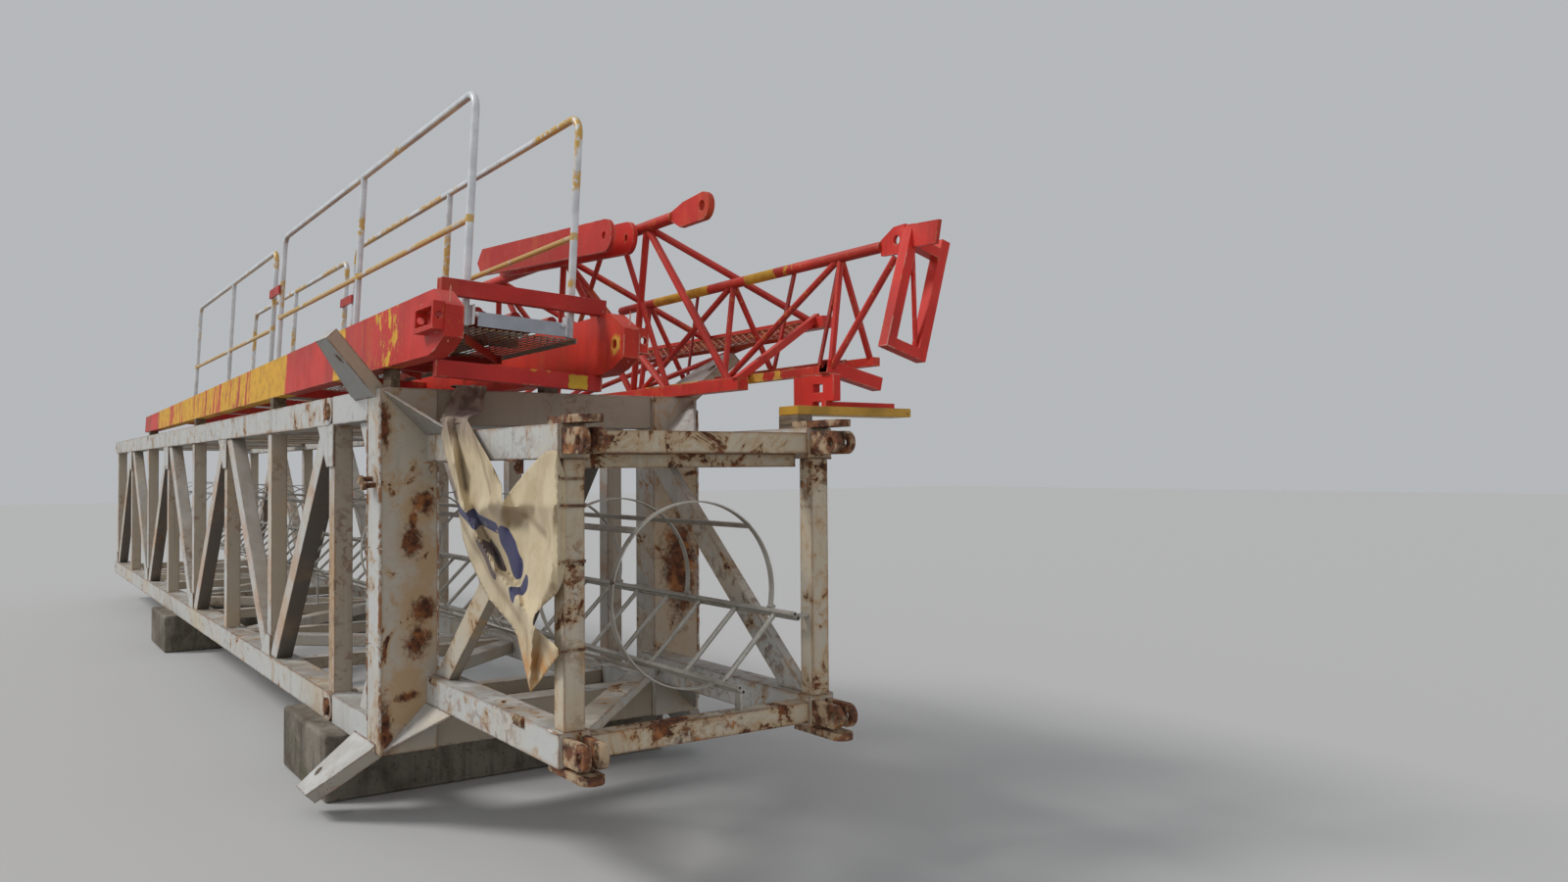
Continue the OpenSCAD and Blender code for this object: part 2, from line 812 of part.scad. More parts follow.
module packers() {
    back_y = girder_y + jib_deck_w - girder_w;
    color(timber) {
        for (i = [1, 3, 5]) {
            packer(upright_at(i), girder_y, tower_w, 90, girder_w);
            packer(upright_at(i), back_y, tower_w - deck_inset, 90, girder_w - 6);
        }
        packer(-post_d / 2, girder_y + stub_clear, tower_w, 120, girder_w - stub_clear);
        packer(-post_d / 2, back_y, tower_w, 90, girder_w - 6);
        tower() {
            translate([tip_far_x + 40, tip_front.x - tip_box / 2, tower_w + seat])
                cube([90, tip_box, tip_front.y - tip_box / 2 - tower_w - 2 * seat]);
            translate([bearer_x, bearer_y, bay_hi + seat])
                cube([bearer_l, bay_hi - bearer_y, bearer_block]);
        }
    }
}

// Jib root: a three-chord lattice that lies on its front base chord, leaning back
root_near_x = 600;
root_far_x = root_near_x - root_len;
root_front = [tower_w - 106, tower_w + seat + jib_box / 2];
root_back = root_front + root_w * [cos(root_lean), sin(root_lean)];
root_apex = (root_front + root_back) / 2 + root_h * [-sin(root_lean), cos(root_lean)];
root_bays = 3;
root_node_x = root_near_x - 105;
base_web = 30;
end_bar_w = 34;
end_bar_lift = 34;
end_bar_skew = 62;
strut_near_x = root_node_x - 0.6 * root_bay;
strut_far_x = root_node_x - 2 * root_bay - 55;
brace_shift = 195;
strut_top_near = -290;
strut_top_far = -470;
eye_x = 555;
eye_r = 66;
eye_t = 34;
eye_bore = 50;
eye_back_x = 270;

function at_x(x, p) = [x, p.x, p.y];

module box_chord(x_far, x_near, p, size) {
    translate([x_far, p.x - size / 2, p.y - size / 2]) cube([x_near - x_far, size, size]);
}

module tube_chord(x_far, x_near, p, size) {
    rod(at_x(x_far, p), at_x(x_near, p), size, 12);
}

module root_chords() {
    box_chord(root_far_x, root_near_x, root_front, jib_box);
    box_chord(root_far_x, root_near_x, root_back, jib_box);
    tube_chord(root_far_x + 100, eye_back_x, root_apex, jib_tube);
}

module jib_root_chords() { color(red) tower() root_chords(); }

// Zigzag of round bars between two chords whose panel points alternate
module zigzag(p, q, node_x, step, count, d) {
    for (i = [0 : count - 1]) {
        mid = node_x - (i + 0.5) * step;
        rod(at_x(node_x - i * step, p), at_x(mid, q), d, 8);
        rod(at_x(mid, q), at_x(node_x - (i + 1) * step, p), d, 8);
    }
}

module jib_root_web() {
    color(red) tower() difference() {
        union() {
            zigzag(root_front, root_apex, root_node_x, root_bay, root_bays, jib_web);
            zigzag(root_back, root_apex, root_node_x, root_bay, root_bays, jib_web);
            for (i = [2, 3])
                rod(at_x(root_node_x - i * root_bay, root_front),
                    at_x(root_node_x - i * root_bay, root_back), base_web, 8);
            // The nearest diagonal of the base is shifted to pass the strut stub
            for (i = [1 : 3]) {
                x = root_node_x - i * root_bay - (i == 1 ? brace_shift : 0);
                rod(at_x(x, root_front), at_x(x + root_bay, root_back), base_web, 8);
            }
            rod(at_x(root_node_x - 1.5 * root_bay, root_apex), at_x(strut_near_x, root_front),
                jib_web, 8);
            rod(at_x(strut_top_near, root_apex), at_x(strut_near_x, root_front), base_web, 8);
            rod(at_x(strut_top_far, root_apex), at_x(strut_far_x, root_front), base_web, 8);
            root_end_bar();
        }
        root_chords();
        tip_chords(seat);
    }
}

// Crossbar over the near end of the root's base
module root_end_bar() {
    x = root_near_x - end_bar_w / 2 - 1;
    bar([x, root_front.x - jib_box / 2, root_front.y + end_bar_lift - jib_box / 2 * tan(root_lean)],
        [x - end_bar_skew, root_back.x, root_back.y + end_bar_lift], end_bar_w, end_bar_w);
}

module jib_root_eye() {
    color(red) tower() translate([0, root_apex.x + eye_t / 2, root_apex.y]) rotate([90, 0, 0])
        linear_extrude(eye_t) difference() {
            union() {
                polygon([
                    [eye_back_x, -25], [eye_back_x + 80, -eye_r], [eye_x, -eye_r],
                    [eye_x, eye_r], [eye_back_x + 110, 52], [eye_back_x, 25]
                ]);
                translate([eye_x, 0]) circle(eye_r, $fn = 48);
            }
            translate([eye_x, 0]) circle(d = eye_bore, $fn = 40);
        }
}

// Grating that runs along the back base chord, above the base lattice
walk_w = 160;
walk_t = 22;

module jib_walkway() {
    color(red) tower() translate([0, root_back.x, root_back.y]) rotate([root_lean, 0, 0])
        translate([root_far_x + 300, -jib_box * 0.75 - walk_w, base_web / 2 + seat])
            cube([root_len - 400, walk_w, walk_t]);
}

// Jib tip section: smaller, pushed into the root section and standing out beyond it
tip_box = 40;
tip_tube = 50;
tip_web = 30;
tip_near_x = 1140;
tip_far_x = -560;
tip_top_far_x = -889;
tip_top_near_x = 1465;
tip_front = [tower_w - 34, tower_w + 57];
tip_apex = tip_front + [60, 494];
tip_back = tip_front + [295, 52];
tip_node_x = 1185;
tip_pitch = 867;
tip_strap_w = 44;
tip_strap_t = 10;
tip_strap_run = 480;
tip_strap_start = 340;
tip_last_x = 1547;
tip_last_drop = 56;

// The three chords of the tip, grown by spare on every side where they cut another piece
module tip_chords(spare = 0) {
    box_chord(tip_far_x - spare, tip_near_x + spare, tip_front, tip_box + 2 * spare);
    box_chord(tip_far_x - spare, tip_near_x + spare, tip_back, tip_box + 2 * spare);
    tube_chord(tip_top_far_x - spare, tip_top_near_x + spare, tip_apex, tip_tube + 2 * spare);
}

module jib_tip_chords() { color(red) tower() tip_chords(); }

// Box across the near end of the tip's base
foot_box = 60;
foot_wall = 6;
foot_near = [tip_near_x + foot_box / 2 + 2, tip_front.x - 30, tip_front.y + 14];
foot_far = foot_near + [0, 304, -69];

module tip_foot_box() {
    bar(foot_near, foot_far, foot_box, foot_box);
}

// Web of the tip: uprights and long diagonals in front, uprights and flat straps at the back
module jib_tip_web() {
    color(red) tower() difference() {
        union() {
            for (i = [0 : 2]) {
                x = tip_node_x - i * tip_pitch;
                back_x = min(x, tip_near_x - tip_box);
                rod(at_x(x, tip_apex), at_x(x, tip_front), tip_web, 8);
                rod(at_x(x, tip_apex), at_x(back_x, tip_back), tip_web, 8);
                if (i > 0) rod(at_x(x, tip_front), at_x(x, tip_back), tip_web, 8);
                if (i < 2) {
                    rod(at_x(x, tip_apex), at_x(x - tip_pitch, tip_front), tip_web, 8);
                    bar(at_x(x, tip_apex), at_x(x - tip_strap_run, tip_back), tip_strap_w, tip_strap_t);
                    bar(at_x(x - tip_strap_start, tip_apex), at_x(x - tip_pitch, tip_back),
                        tip_strap_w, tip_strap_t);
                }
            }
            rod(at_x(tip_last_x, tip_apex - [0, tip_last_drop]), at_x(tip_node_x, tip_front), tip_web, 8);
        }
        tip_chords();
        tip_foot_box();
    }
}

// Grating between the tip's base chords, on its battens, from beyond the strut stub to the near end
tip_walk_w = 130;
tip_walk_t = 14;
tip_walk_in = 80;
tip_walk_x = post_d / 2 + 12;

module tip_walkway() {
    roll = atan2(tip_back.y - tip_front.y, tip_back.x - tip_front.x);
    color(red) tower() translate([0, tip_front.x, tip_front.y]) rotate([roll, 0, 0])
        translate([tip_walk_x, tip_walk_in, tip_web / 2 + seat])
            cube([tip_near_x - 100 - tip_walk_x, tip_walk_w, tip_walk_t]);
}

// Frame across the end of the tip: two posts and two crossbars that lean forward at the foot,
// with a pin plate to the top chord and a plate beyond it
frame_x = 1607;
frame_t = 55;
frame_w = 44;
frame_lean = 16;
frame_h = 520;
frame_up = 60;
frame_span = 168;
brace_d = 20;
plate_t = 18;
pin_plate_bore = 40;

module jib_end_frame() {
    color(red) tower() translate([0, tip_apex.x, tip_apex.y]) {
        translate([frame_x, 0, 0]) rotate([-frame_lean, 0, 0]) {
            for (y = [-frame_w / 2, frame_span - frame_w / 2])
                translate([0, y, frame_up - frame_h]) cube([frame_t, frame_w, frame_h]);
            for (z = [frame_up - frame_h, frame_up - frame_w - 40])
                translate([0, frame_w / 2, z]) cube([frame_t, frame_span - frame_w, frame_w]);
            rod([frame_t / 2, frame_w / 2 - 6, 0], [frame_t / 2, frame_span - frame_w / 2 + 6, 90 - frame_h],
                brace_d, 8);
        }
        translate([0, plate_t / 2, 0]) rotate([90, 0, 0]) linear_extrude(plate_t) {
            difference() {
                polygon([
                    [tip_top_near_x, -40], [tip_top_near_x, 25], [frame_x - 60, 68],
                    [frame_x + 10, 70], [frame_x + 10, -50]
                ]);
                translate([frame_x - 42, 12]) circle(d = pin_plate_bore, $fn = 32);
            }
            polygon([
                [frame_x + 30, -30], [frame_x + 190, -40], [frame_x + 210, 52], [frame_x + 30, 62]
            ]);
        }
    }
}

// Foot that carries the tip on the bearer, and the box across its near end
foot_x = 935;
foot_l = 293;
foot_top = tip_front.y - tip_box / 2 - seat;
foot_step = 28;
foot_deep_l = 140;
foot_hole = [145, 70, 69, 36];
foot_rail_w = 30;
bearer_x = 1140;
bearer_l = 140;
bearer_h = 38;
bearer_block = 58;
bearer_y = bay_hi - 75;
bearer_w = 620;
bearer_z = bay_hi + bearer_block + 2 * seat;

// The foot's deep far part, its shorter near part and a rail under it that runs to the back
module jib_foot() {
    z = bearer_z + bearer_h + seat;
    y = tip_front.x - tip_box / 2;
    color(red) tower() {
        difference() {
            union() {
                translate([foot_x, y, z + foot_step]) cube([foot_l, tip_box, foot_top - z - foot_step]);
                translate([foot_x, y, z]) cube([foot_deep_l, tip_box, foot_step]);
                tip_foot_box();
                translate([bearer_x, y, z])
                    cube([foot_rail_w, bearer_y + bearer_w - y, foot_step]);
            }
            translate([foot_x + foot_hole[0], y - 1, z + foot_hole[2]])
                cube([foot_hole[1], tip_box + 2, foot_hole[3]]);
            bar(foot_near - (foot_far - foot_near) / 50, foot_near + (foot_far - foot_near) / 5,
                foot_box - 2 * foot_wall, foot_box - 2 * foot_wall);
        }
    }
}

module bearer() {
    color([0.85, 0.62, 0.12]) tower() translate([bearer_x, bearer_y, bearer_z])
        cube([bearer_l, bearer_w, bearer_h]);
}

sleeper_near();
sleeper_far();
chord_front_top();
chord_front_bottom();
chord_back_top();
chord_back_bottom();
web_front();
web_back();
web_top();
web_bottom();
section_pins();
collar_arms();
collar_post_front();
collar_post_back();
collar_beams();
collar_gussets();
strut_stubs();
bay_chords();
bay_braces();
bay_end_posts();
bay_crossbars();
lugs();
ladder();
ladder_straps();
ladder_hoops();
banner();
packers();
girder_front();
girder_back();
deck_cross_beams();
deck_grating();
end_beams();
toe_plate();
railing_front();
railing_back();
rail_clamps();
tie_link();
tie_bars();
jib_root_chords();
jib_root_web();
jib_root_eye();
jib_walkway();
jib_tip_chords();
jib_tip_web();
tip_walkway();
jib_end_frame();
jib_foot();
bearer();
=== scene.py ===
"""Looks of the dismantled tower crane: a stack of lattice sections stored on two sleepers."""
import bmesh
import bpy
import math
import random
from mathutils import Matrix, Vector
from mathutils.geometry import delaunay_2d_cdt


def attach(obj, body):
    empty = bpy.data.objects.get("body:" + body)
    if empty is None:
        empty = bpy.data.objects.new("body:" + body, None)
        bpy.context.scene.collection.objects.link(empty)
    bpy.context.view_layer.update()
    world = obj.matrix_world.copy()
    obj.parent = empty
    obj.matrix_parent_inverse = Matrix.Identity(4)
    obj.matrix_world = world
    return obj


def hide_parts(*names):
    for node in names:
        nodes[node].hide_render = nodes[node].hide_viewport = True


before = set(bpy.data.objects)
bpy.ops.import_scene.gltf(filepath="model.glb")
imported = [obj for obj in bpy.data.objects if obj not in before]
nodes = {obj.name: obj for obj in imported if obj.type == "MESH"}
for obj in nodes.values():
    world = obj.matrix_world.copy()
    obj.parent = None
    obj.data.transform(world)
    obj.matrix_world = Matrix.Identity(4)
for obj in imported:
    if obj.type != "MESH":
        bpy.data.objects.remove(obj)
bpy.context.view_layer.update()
rng = random.Random(7)

# Places in the part: tower section, counter-jib, ladder
TOWER = Matrix.Translation((0.980, -0.805, 0.315))
JIB = (TOWER @ Matrix.Translation((-8.600, 0.022, 1.656))
       @ Matrix.Rotation(math.radians(-0.28), 4, "Y") @ Matrix.Rotation(math.radians(-3.2), 4, "X"))
LADDER = (TOWER @ Matrix.Translation((0, 0.880, 0.745)) @ Matrix.Rotation(math.radians(45), 4, "X")
          @ Matrix.Translation((0, 0, -0.3203)))


def in_mm(frame_matrix):
    """A function that turns a point of one frame in mm into metres of the part."""
    def at(x, y, z):
        return frame_matrix @ Vector((x / 1000, y / 1000, z / 1000))
    return at


tower_at = in_mm(TOWER)
jib_at = in_mm(JIB)
ladder_at = in_mm(LADDER)


# Materials
class Mat:
    """Builds one procedural material; every method returns a socket."""

    def __init__(self, name):
        self.mat = bpy.data.materials.new(name)
        self.mat.use_nodes = True
        self.tree = self.mat.node_tree
        self.tree.nodes.clear()
        out = self.new("OutputMaterial")
        self.bsdf = self.new("BsdfPrincipled")
        self.tree.links.new(self.bsdf.outputs[0], out.inputs[0])
        self.co = self.new("TexCoord").outputs["Object"]
        self.geo = self.new("NewGeometry")
        self.normal = self.parts(self.geo.outputs["Normal"])
        self.pos = self.parts(self.co)

    def new(self, kind):
        return self.tree.nodes.new("ShaderNode" + kind)

    def parts(self, vector):
        """The x, y and z of a vector."""
        split = self.new("SeparateXYZ")
        self.put(vector, split.inputs[0])
        return split.outputs

    def put(self, value, socket):
        """Links a socket, or writes a number or colour on it."""
        if isinstance(value, bpy.types.NodeSocket):
            self.tree.links.new(value, socket)
        elif isinstance(value, (tuple, list)) and socket.type == "RGBA":
            socket.default_value = (*value[:3], 1)
        else:
            socket.default_value = value

    def math(self, kind, a, b=0.0, clamp=False):
        n = self.new("Math")
        n.operation = kind
        n.use_clamp = clamp
        self.put(a, n.inputs[0])
        self.put(b, n.inputs[1])
        return n.outputs[0]

    def mul(self, a, b):
        return self.math("MULTIPLY", a, b)

    def add(self, a, b, clamp=True):
        return self.math("ADD", a, b, clamp)

    def most(self, *sockets):
        """The greatest of several values."""
        out = sockets[0]
        for s in sockets[1:]:
            out = self.math("MAXIMUM", out, s)
        return out

    def inv(self, a):
        return self.math("SUBTRACT", 1.0, a)

    def scaled(self, by, offset=(0, 0, 0)):
        """The place on the part, stretched and moved."""
        n = self.new("VectorMath")
        n.operation = "MULTIPLY_ADD"
        self.put(self.co, n.inputs[0])
        n.inputs[1].default_value = by
        n.inputs[2].default_value = offset
        return n.outputs[0]

    def noise(self, scale, detail=4.0, rough=0.55, by=(1, 1, 1), offset=(0, 0, 0), bend=0.0):
        n = self.new("TexNoise")
        self.put(self.scaled(by, offset), n.inputs["Vector"])
        n.inputs["Scale"].default_value = scale
        n.inputs["Detail"].default_value = detail
        n.inputs["Roughness"].default_value = rough
        n.inputs["Distortion"].default_value = bend
        return n.outputs["Fac"]

    def ramp(self, a, lo, hi):
        """0 below lo and 1 above hi, with a smooth step between them."""
        n = self.new("MapRange")
        n.interpolation_type = "SMOOTHSTEP"
        self.put(a, n.inputs["Value"])
        n.inputs["From Min"].default_value = lo
        n.inputs["From Max"].default_value = hi
        return n.outputs["Result"]

    def span(self, axis, lo, hi, soft):
        """1 between lo and hi on one axis of the part, in metres, with soft ends."""
        a = self.ramp(self.pos[axis], lo - soft, lo + soft)
        b = self.inv(self.ramp(self.pos[axis], hi - soft, hi + soft))
        return self.mul(a, b)

    def down(self, lo, hi):
        """1 on faces that look down."""
        return self.ramp(self.mul(self.normal[2], -1.0), lo, hi)

    def mix(self, fac, a, b):
        """Colour a, and colour b where fac is 1."""
        n = self.new("Mix")
        n.data_type = "RGBA"
        n.clamp_factor = True
        self.put(fac, n.inputs["Factor"])
        ins = [s for s in n.inputs if s.type == "RGBA"]
        self.put(a, ins[0])
        self.put(b, ins[1])
        return [s for s in n.outputs if s.type == "RGBA"][0]

    def edges(self, radius, lo=0.02, hi=0.2):
        """1 along sharp edges and corners."""
        n = self.new("Bevel")
        n.samples = 4
        n.inputs["Radius"].default_value = radius
        along = self.vec("DOT_PRODUCT", n.outputs[0], self.geo.outputs["Normal"], "Value")
        return self.ramp(self.inv(along), lo, hi)

    def blob(self, centre, radii, ragged=0.9):
        """A ragged patch around a point of the part."""
        off = self.vec("DIVIDE", self.vec("SUBTRACT", self.co, centre), radii)
        size = self.vec("LENGTH", off, (0, 0, 0), "Value")
        wave = self.mul(self.math("SUBTRACT", self.noise(26, 6, 0.7), 0.5), ragged * 2.6)
        return self.inv(self.ramp(self.add(size, wave, False), 0.45, 1.15))

    def stroke(self, band, r, soft=0.002):
        """A band of half-width r along points (x, z) of the part, seen from the front."""
        flat = self.scaled((1, 0, 1))
        nearest = None
        for (ax, az), (bx, bz) in zip(band, band[1:]):
            length = math.hypot(bx - ax, bz - az)
            way = ((bx - ax) / length, 0, (bz - az) / length)
            off = self.vec("SUBTRACT", flat, (ax, 0, az))
            along = self.vec("DOT_PRODUCT", off, way, "Value")
            near = self.math("MINIMUM", self.math("MAXIMUM", along, 0.0), length)
            foot = self.new("VectorMath")
            foot.operation = "SCALE"
            foot.inputs[0].default_value = way
            self.put(near, foot.inputs["Scale"])
            d = self.vec("DISTANCE", off, foot.outputs[0], "Value")
            nearest = d if nearest is None else self.math("MINIMUM", nearest, d)
        return self.inv(self.ramp(nearest, max(0.0, r - soft), r + soft))

    def vec(self, kind, a, b, out="Vector"):
        n = self.new("VectorMath")
        n.operation = kind
        self.put(a, n.inputs[0])
        self.put(b, n.inputs[1])
        return n.outputs[out]

    def rust(self, scale=34):
        """Rust that goes from nearly black to orange."""
        dark = self.mix(self.ramp(self.noise(scale, 5, 0.65), 0.36, 0.62),
                        (0.045, 0.017, 0.010), (0.17, 0.060, 0.024))
        return self.mix(self.ramp(self.noise(scale * 0.35, 4, 0.6, offset=(3, 1, 7)), 0.50, 0.70),
                        dark, (0.34, 0.135, 0.046))

    def bump(self, height, distance, strength=0.6):
        n = self.new("Bump")
        n.inputs["Strength"].default_value = strength
        n.inputs["Distance"].default_value = distance
        self.put(height, n.inputs["Height"])
        self.put(n.outputs[0], self.bsdf.inputs["Normal"])

    def done(self, color, rough, metallic=None, specular=0.5):
        """Sets the surface and returns the material."""
        self.put(color, self.bsdf.inputs["Base Color"])
        self.put(rough, self.bsdf.inputs["Roughness"])
        if metallic is not None:
            self.put(metallic, self.bsdf.inputs["Metallic"])
        self.bsdf.inputs["Specular IOR Level"].default_value = specular
        return self.mat


def cream(name, rust=0.35, streaks=0.6, warm=0.35, blobs=(), stains=(), edge=0.6, shift=0.0,
          shade=1.0, dark_under=0.55, front_rust=0.0, near=0.80, heavy=0.0, pale_below=None):
    """Old cream-grey paint: warm and cool patches, painted shade on faces that look along the part and on
    faces that look down, dark runs, rusty edges and patches.
    """
    m = Mat(name)
    off = (shift, shift * 2, 0)
    cool = (0.50 * shade, 0.505 * shade, 0.49 * shade)
    sunny = (0.52 * shade, 0.45 * shade, 0.34 * shade)
    tone = m.ramp(m.noise(1.6, 3, offset=off), 0.62 - 0.5 * warm, 0.92 - 0.45 * warm)
    painted_side_shade = m.ramp(m.math("ABSOLUTE", m.normal[0]), 0.55, 0.9)
    col = m.mix(tone, cool, sunny)
    # painted shade: faces that look along the part get a darker, warmer beige
    col = m.mix(m.mul(painted_side_shade, near), col, (0.36 * shade, 0.285 * shade, 0.195 * shade))
    col = m.mix(m.mul(m.ramp(m.noise(16, 5, 0.65), 0.40, 0.75), 0.20), col, (0.30, 0.27, 0.22))
    upright = m.inv(m.ramp(m.math("ABSOLUTE", m.normal[2]), 0.45, 0.8))
    runs = m.ramp(m.noise(1.0, 5, 0.62, by=(17, 17, 0.9), offset=off), 0.50, 0.72)
    fade = m.ramp(m.noise(1.3, 2, offset=(5, 2, 1)), 0.38, 0.62)
    col = m.mix(m.mul(m.mul(runs, m.mul(upright, fade)), streaks), col, (0.13, 0.115, 0.095))
    flat = m.ramp(m.normal[2], 0.5, 0.85)
    grime = m.mul(flat, m.ramp(m.noise(5, 5, 0.6), 0.30, 0.62))
    col = m.mix(m.mul(grime, 0.62), col, (0.17, 0.135, 0.095))
    # painted shade: faces that look down go nearly black
    under = m.down(0.22, 0.62)
    col = m.mix(m.mul(under, dark_under), col, (0.070, 0.056, 0.045))
    if front_rust:
        front = m.ramp(m.mul(m.normal[1], -1.0), 0.6, 0.9)
        band = m.ramp(m.noise(1.0, 6, 0.7, by=(2.2, 2.2, 3.4), offset=(shift, 1, 3)), 0.44, 0.60)
        col = m.mix(m.mul(m.mul(front, band), front_rust), col, (0.46, 0.235, 0.095))
    patch = m.mul(m.ramp(m.noise(1.5, 3, offset=(shift, 9, 4)), 0.50, 0.66),
                  m.ramp(m.noise(17, 6, 0.72, bend=0.4), 0.50, 0.60))
    specks = m.ramp(m.noise(42, 3, 0.6, offset=(shift, 4, 4)), 0.72 - 0.04 * rust, 0.76)
    scuffs = m.ramp(m.noise(7, 5, 0.7, offset=(2, shift, 8)), 0.60 - 0.26 * edge, 0.68 - 0.2 * edge)
    worn = m.mul(m.edges(0.016), scuffs)
    rusty = m.most(m.mul(patch, min(1.0, rust * 1.6)), m.mul(specks, 0.8), worn)
    if heavy:
        scab = m.noise(5.5, 7, 0.74, offset=(shift, 3, shift), bend=0.6)
        rusty = m.most(rusty, m.ramp(scab, 0.615 - 0.10 * heavy, 0.645 - 0.08 * heavy))
    for c, r in blobs:
        rusty = m.most(rusty, m.blob(c, r))
    halo = m.mul(m.ramp(m.noise(2.4, 4, 0.6, offset=(shift, 9, 4)), 0.55, 0.74), 0.75 * rust)
    if pale_below:
        rusty = m.mul(rusty, m.add(0.15, m.ramp(m.pos[0], pale_below, pale_below + 0.004), False))
    if heavy:
        rims = m.mul(m.edges(0.035, 0.01, 0.12), m.ramp(m.noise(3, 5, 0.7), 0.50 - 0.12 * heavy, 0.62))
        halo = m.most(halo, m.mul(m.ramp(scab, 0.52 - 0.10 * heavy, 0.62 - 0.08 * heavy), 0.8), rims)
    for c, r in stains:
        halo = m.most(halo, m.mul(m.blob(c, r, 0.5), 0.85))
    for c, r in blobs:
        halo = m.most(halo, m.mul(m.blob(c, [2.0 * v for v in r], 0.35), 0.55))
    col = m.mix(halo, col, (0.40, 0.255, 0.125))
    col = m.mix(rusty, col, m.rust())
    m.bump(m.add(m.mul(rusty, m.add(0.5, m.mul(m.noise(60, 4), 0.8), False)),
                 m.mul(m.noise(150, 2), 0.12), False), 0.0022, 0.7)
    rough = m.add(0.40, m.add(m.mul(rusty, 0.5), m.mul(m.noise(12, 4), 0.16), False))
    return m.done(col, rough, specular=0.4)


def red(name, flakes=0.0, flake_spans=(), worn=0.5, tone=(0.46, 0.026, 0.020), faded=0.35, blobs=(),
        shift=0.0, bare_top=0.0):
    """Red paint over yellow: sun-bleached patches, a painted highlight on faces that look up and painted
    shade on faces that look down, flaked areas and scuffed edges.
    """
    m = Mat(name)
    off = (shift, 3 * shift, 1)
    deep = tuple(v * 0.68 for v in tone)
    col = m.mix(m.ramp(m.noise(2.2, 4, offset=off), 0.35, 0.65), tone, deep)
    bleach = m.mul(m.ramp(m.noise(3.5, 5, 0.65, offset=(shift, 8, 2)), 0.46, 0.72), faded)
    # sun-bleached patches, plus a painted highlight: faces that look up get the same lighter red
    up = m.ramp(m.normal[2], 0.2, 0.9)
    col = m.mix(m.add(m.mul(bleach, 0.7), m.mul(up, 0.18)), col, (0.55, 0.085, 0.062))
    runs = m.ramp(m.noise(1.0, 4, 0.6, by=(20, 20, 1.1), offset=off), 0.54, 0.74)
    col = m.mix(m.mul(runs, 0.30), col, (0.22, 0.016, 0.012))
    # painted shade: faces that look down get a darker red
    under = m.down(0.4, 0.9)
    col = m.mix(m.mul(under, 0.35), col, (0.16, 0.012, 0.010))
    peel = m.ramp(m.noise(1.0, 6, 0.66, by=(9, 9, 2.3), offset=off, bend=0.3), 0.52, 0.56)
    small = m.ramp(m.noise(30, 5, 0.72, by=(1.6, 1.6, 0.8), offset=off), 0.60, 0.63)
    yellow_mask = m.mul(small, min(1.0, flakes))
    for lo, hi, soft, amount in flake_spans:
        zone = m.span(0, lo, hi, soft)
        grain = (11, 11, 2.4) if hi - lo > 0.55 else (15, 15, 8)
        ragged = m.noise(1.0, 6, 0.66, by=grain, offset=(lo, 2, 5), bend=0.3)
        level = 0.70 - 0.34 * amount
        held = m.add(ragged, m.mul(m.inv(zone), -0.6), False)
        large = m.ramp(held, level, level + 0.014)
        yellow_mask = m.most(yellow_mask, large, m.mul(m.mul(zone, small), 0.9))
    scuffs = m.ramp(m.noise(9, 5, 0.7, offset=(1, 6, shift)), 0.64 - 0.22 * worn, 0.70 - 0.18 * worn)
    edge = m.mul(m.edges(0.010), scuffs)
    if flakes > 0:
        patches = m.mul(peel, m.ramp(m.noise(1.1, 2, offset=off), 0.5, 0.62))
        yellow_mask = m.most(yellow_mask, m.mul(patches, flakes))
    for c, r in blobs:
        yellow_mask = m.most(yellow_mask, m.blob(c, r, 0.55))
    yellow = m.mix(m.ramp(m.noise(14, 5, 0.6), 0.42, 0.68), (0.66, 0.36, 0.040), (0.48, 0.25, 0.035))
    col = m.mix(yellow_mask, col, yellow)
    chips = m.ramp(m.noise(46, 4, 0.7, offset=(6, shift, 2)), 0.70, 0.73)
    bare = m.most(m.mul(chips, 0.7), edge)
    col = m.mix(m.mul(bare, 0.85), col, m.mix(m.ramp(m.noise(6, 3), 0.42, 0.6),
                                              (0.50, 0.24, 0.11), (0.62, 0.44, 0.34)))
    if bare_top:
        trodden = m.ramp(m.noise(2.6, 5, 0.65, offset=(4, shift, 3)), 0.60 - 0.3 * bare_top, 0.66)
        walked = m.mul(trodden, bare_top)
        for where in (m.ramp(m.normal[2], 0.55, 0.85), m.edges(0.02)):
            col = m.mix(m.mul(where, walked), col, (0.37, 0.135, 0.048))
    spots = m.ramp(m.noise(24, 5, 0.7, offset=(9, 9, shift)), 0.735, 0.765)
    col = m.mix(spots, col, m.rust())
    lost = m.most(yellow_mask, bare)
    m.bump(m.add(m.mul(m.inv(lost), 0.5), m.mul(m.noise(110, 2), 0.16), False), 0.0012, 0.6)
    rough = m.add(0.38, m.add(m.mul(lost, 0.28), m.mul(m.noise(8, 4), 0.20), False))
    return m.done(col, rough, specular=0.32)


def yellow(name, rust=0.4, tone=(0.56, 0.31, 0.035)):
    """Worn yellow paint with rust."""
    m = Mat(name)
    col = m.mix(m.ramp(m.noise(4, 5, 0.6), 0.35, 0.68), tone, tuple(v * 0.6 for v in tone))
    rusty = m.most(m.ramp(m.noise(19, 6, 0.7), 0.66 - 0.08 * rust, 0.70), m.mul(m.edges(0.008), 0.5))
    col = m.mix(rusty, col, m.rust())
    m.bump(m.add(m.mul(rusty, 0.7), m.mul(m.noise(120, 2), 0.1), False), 0.0015)
    return m.done(col, m.add(0.42, m.mul(rusty, 0.45)), specular=0.4)


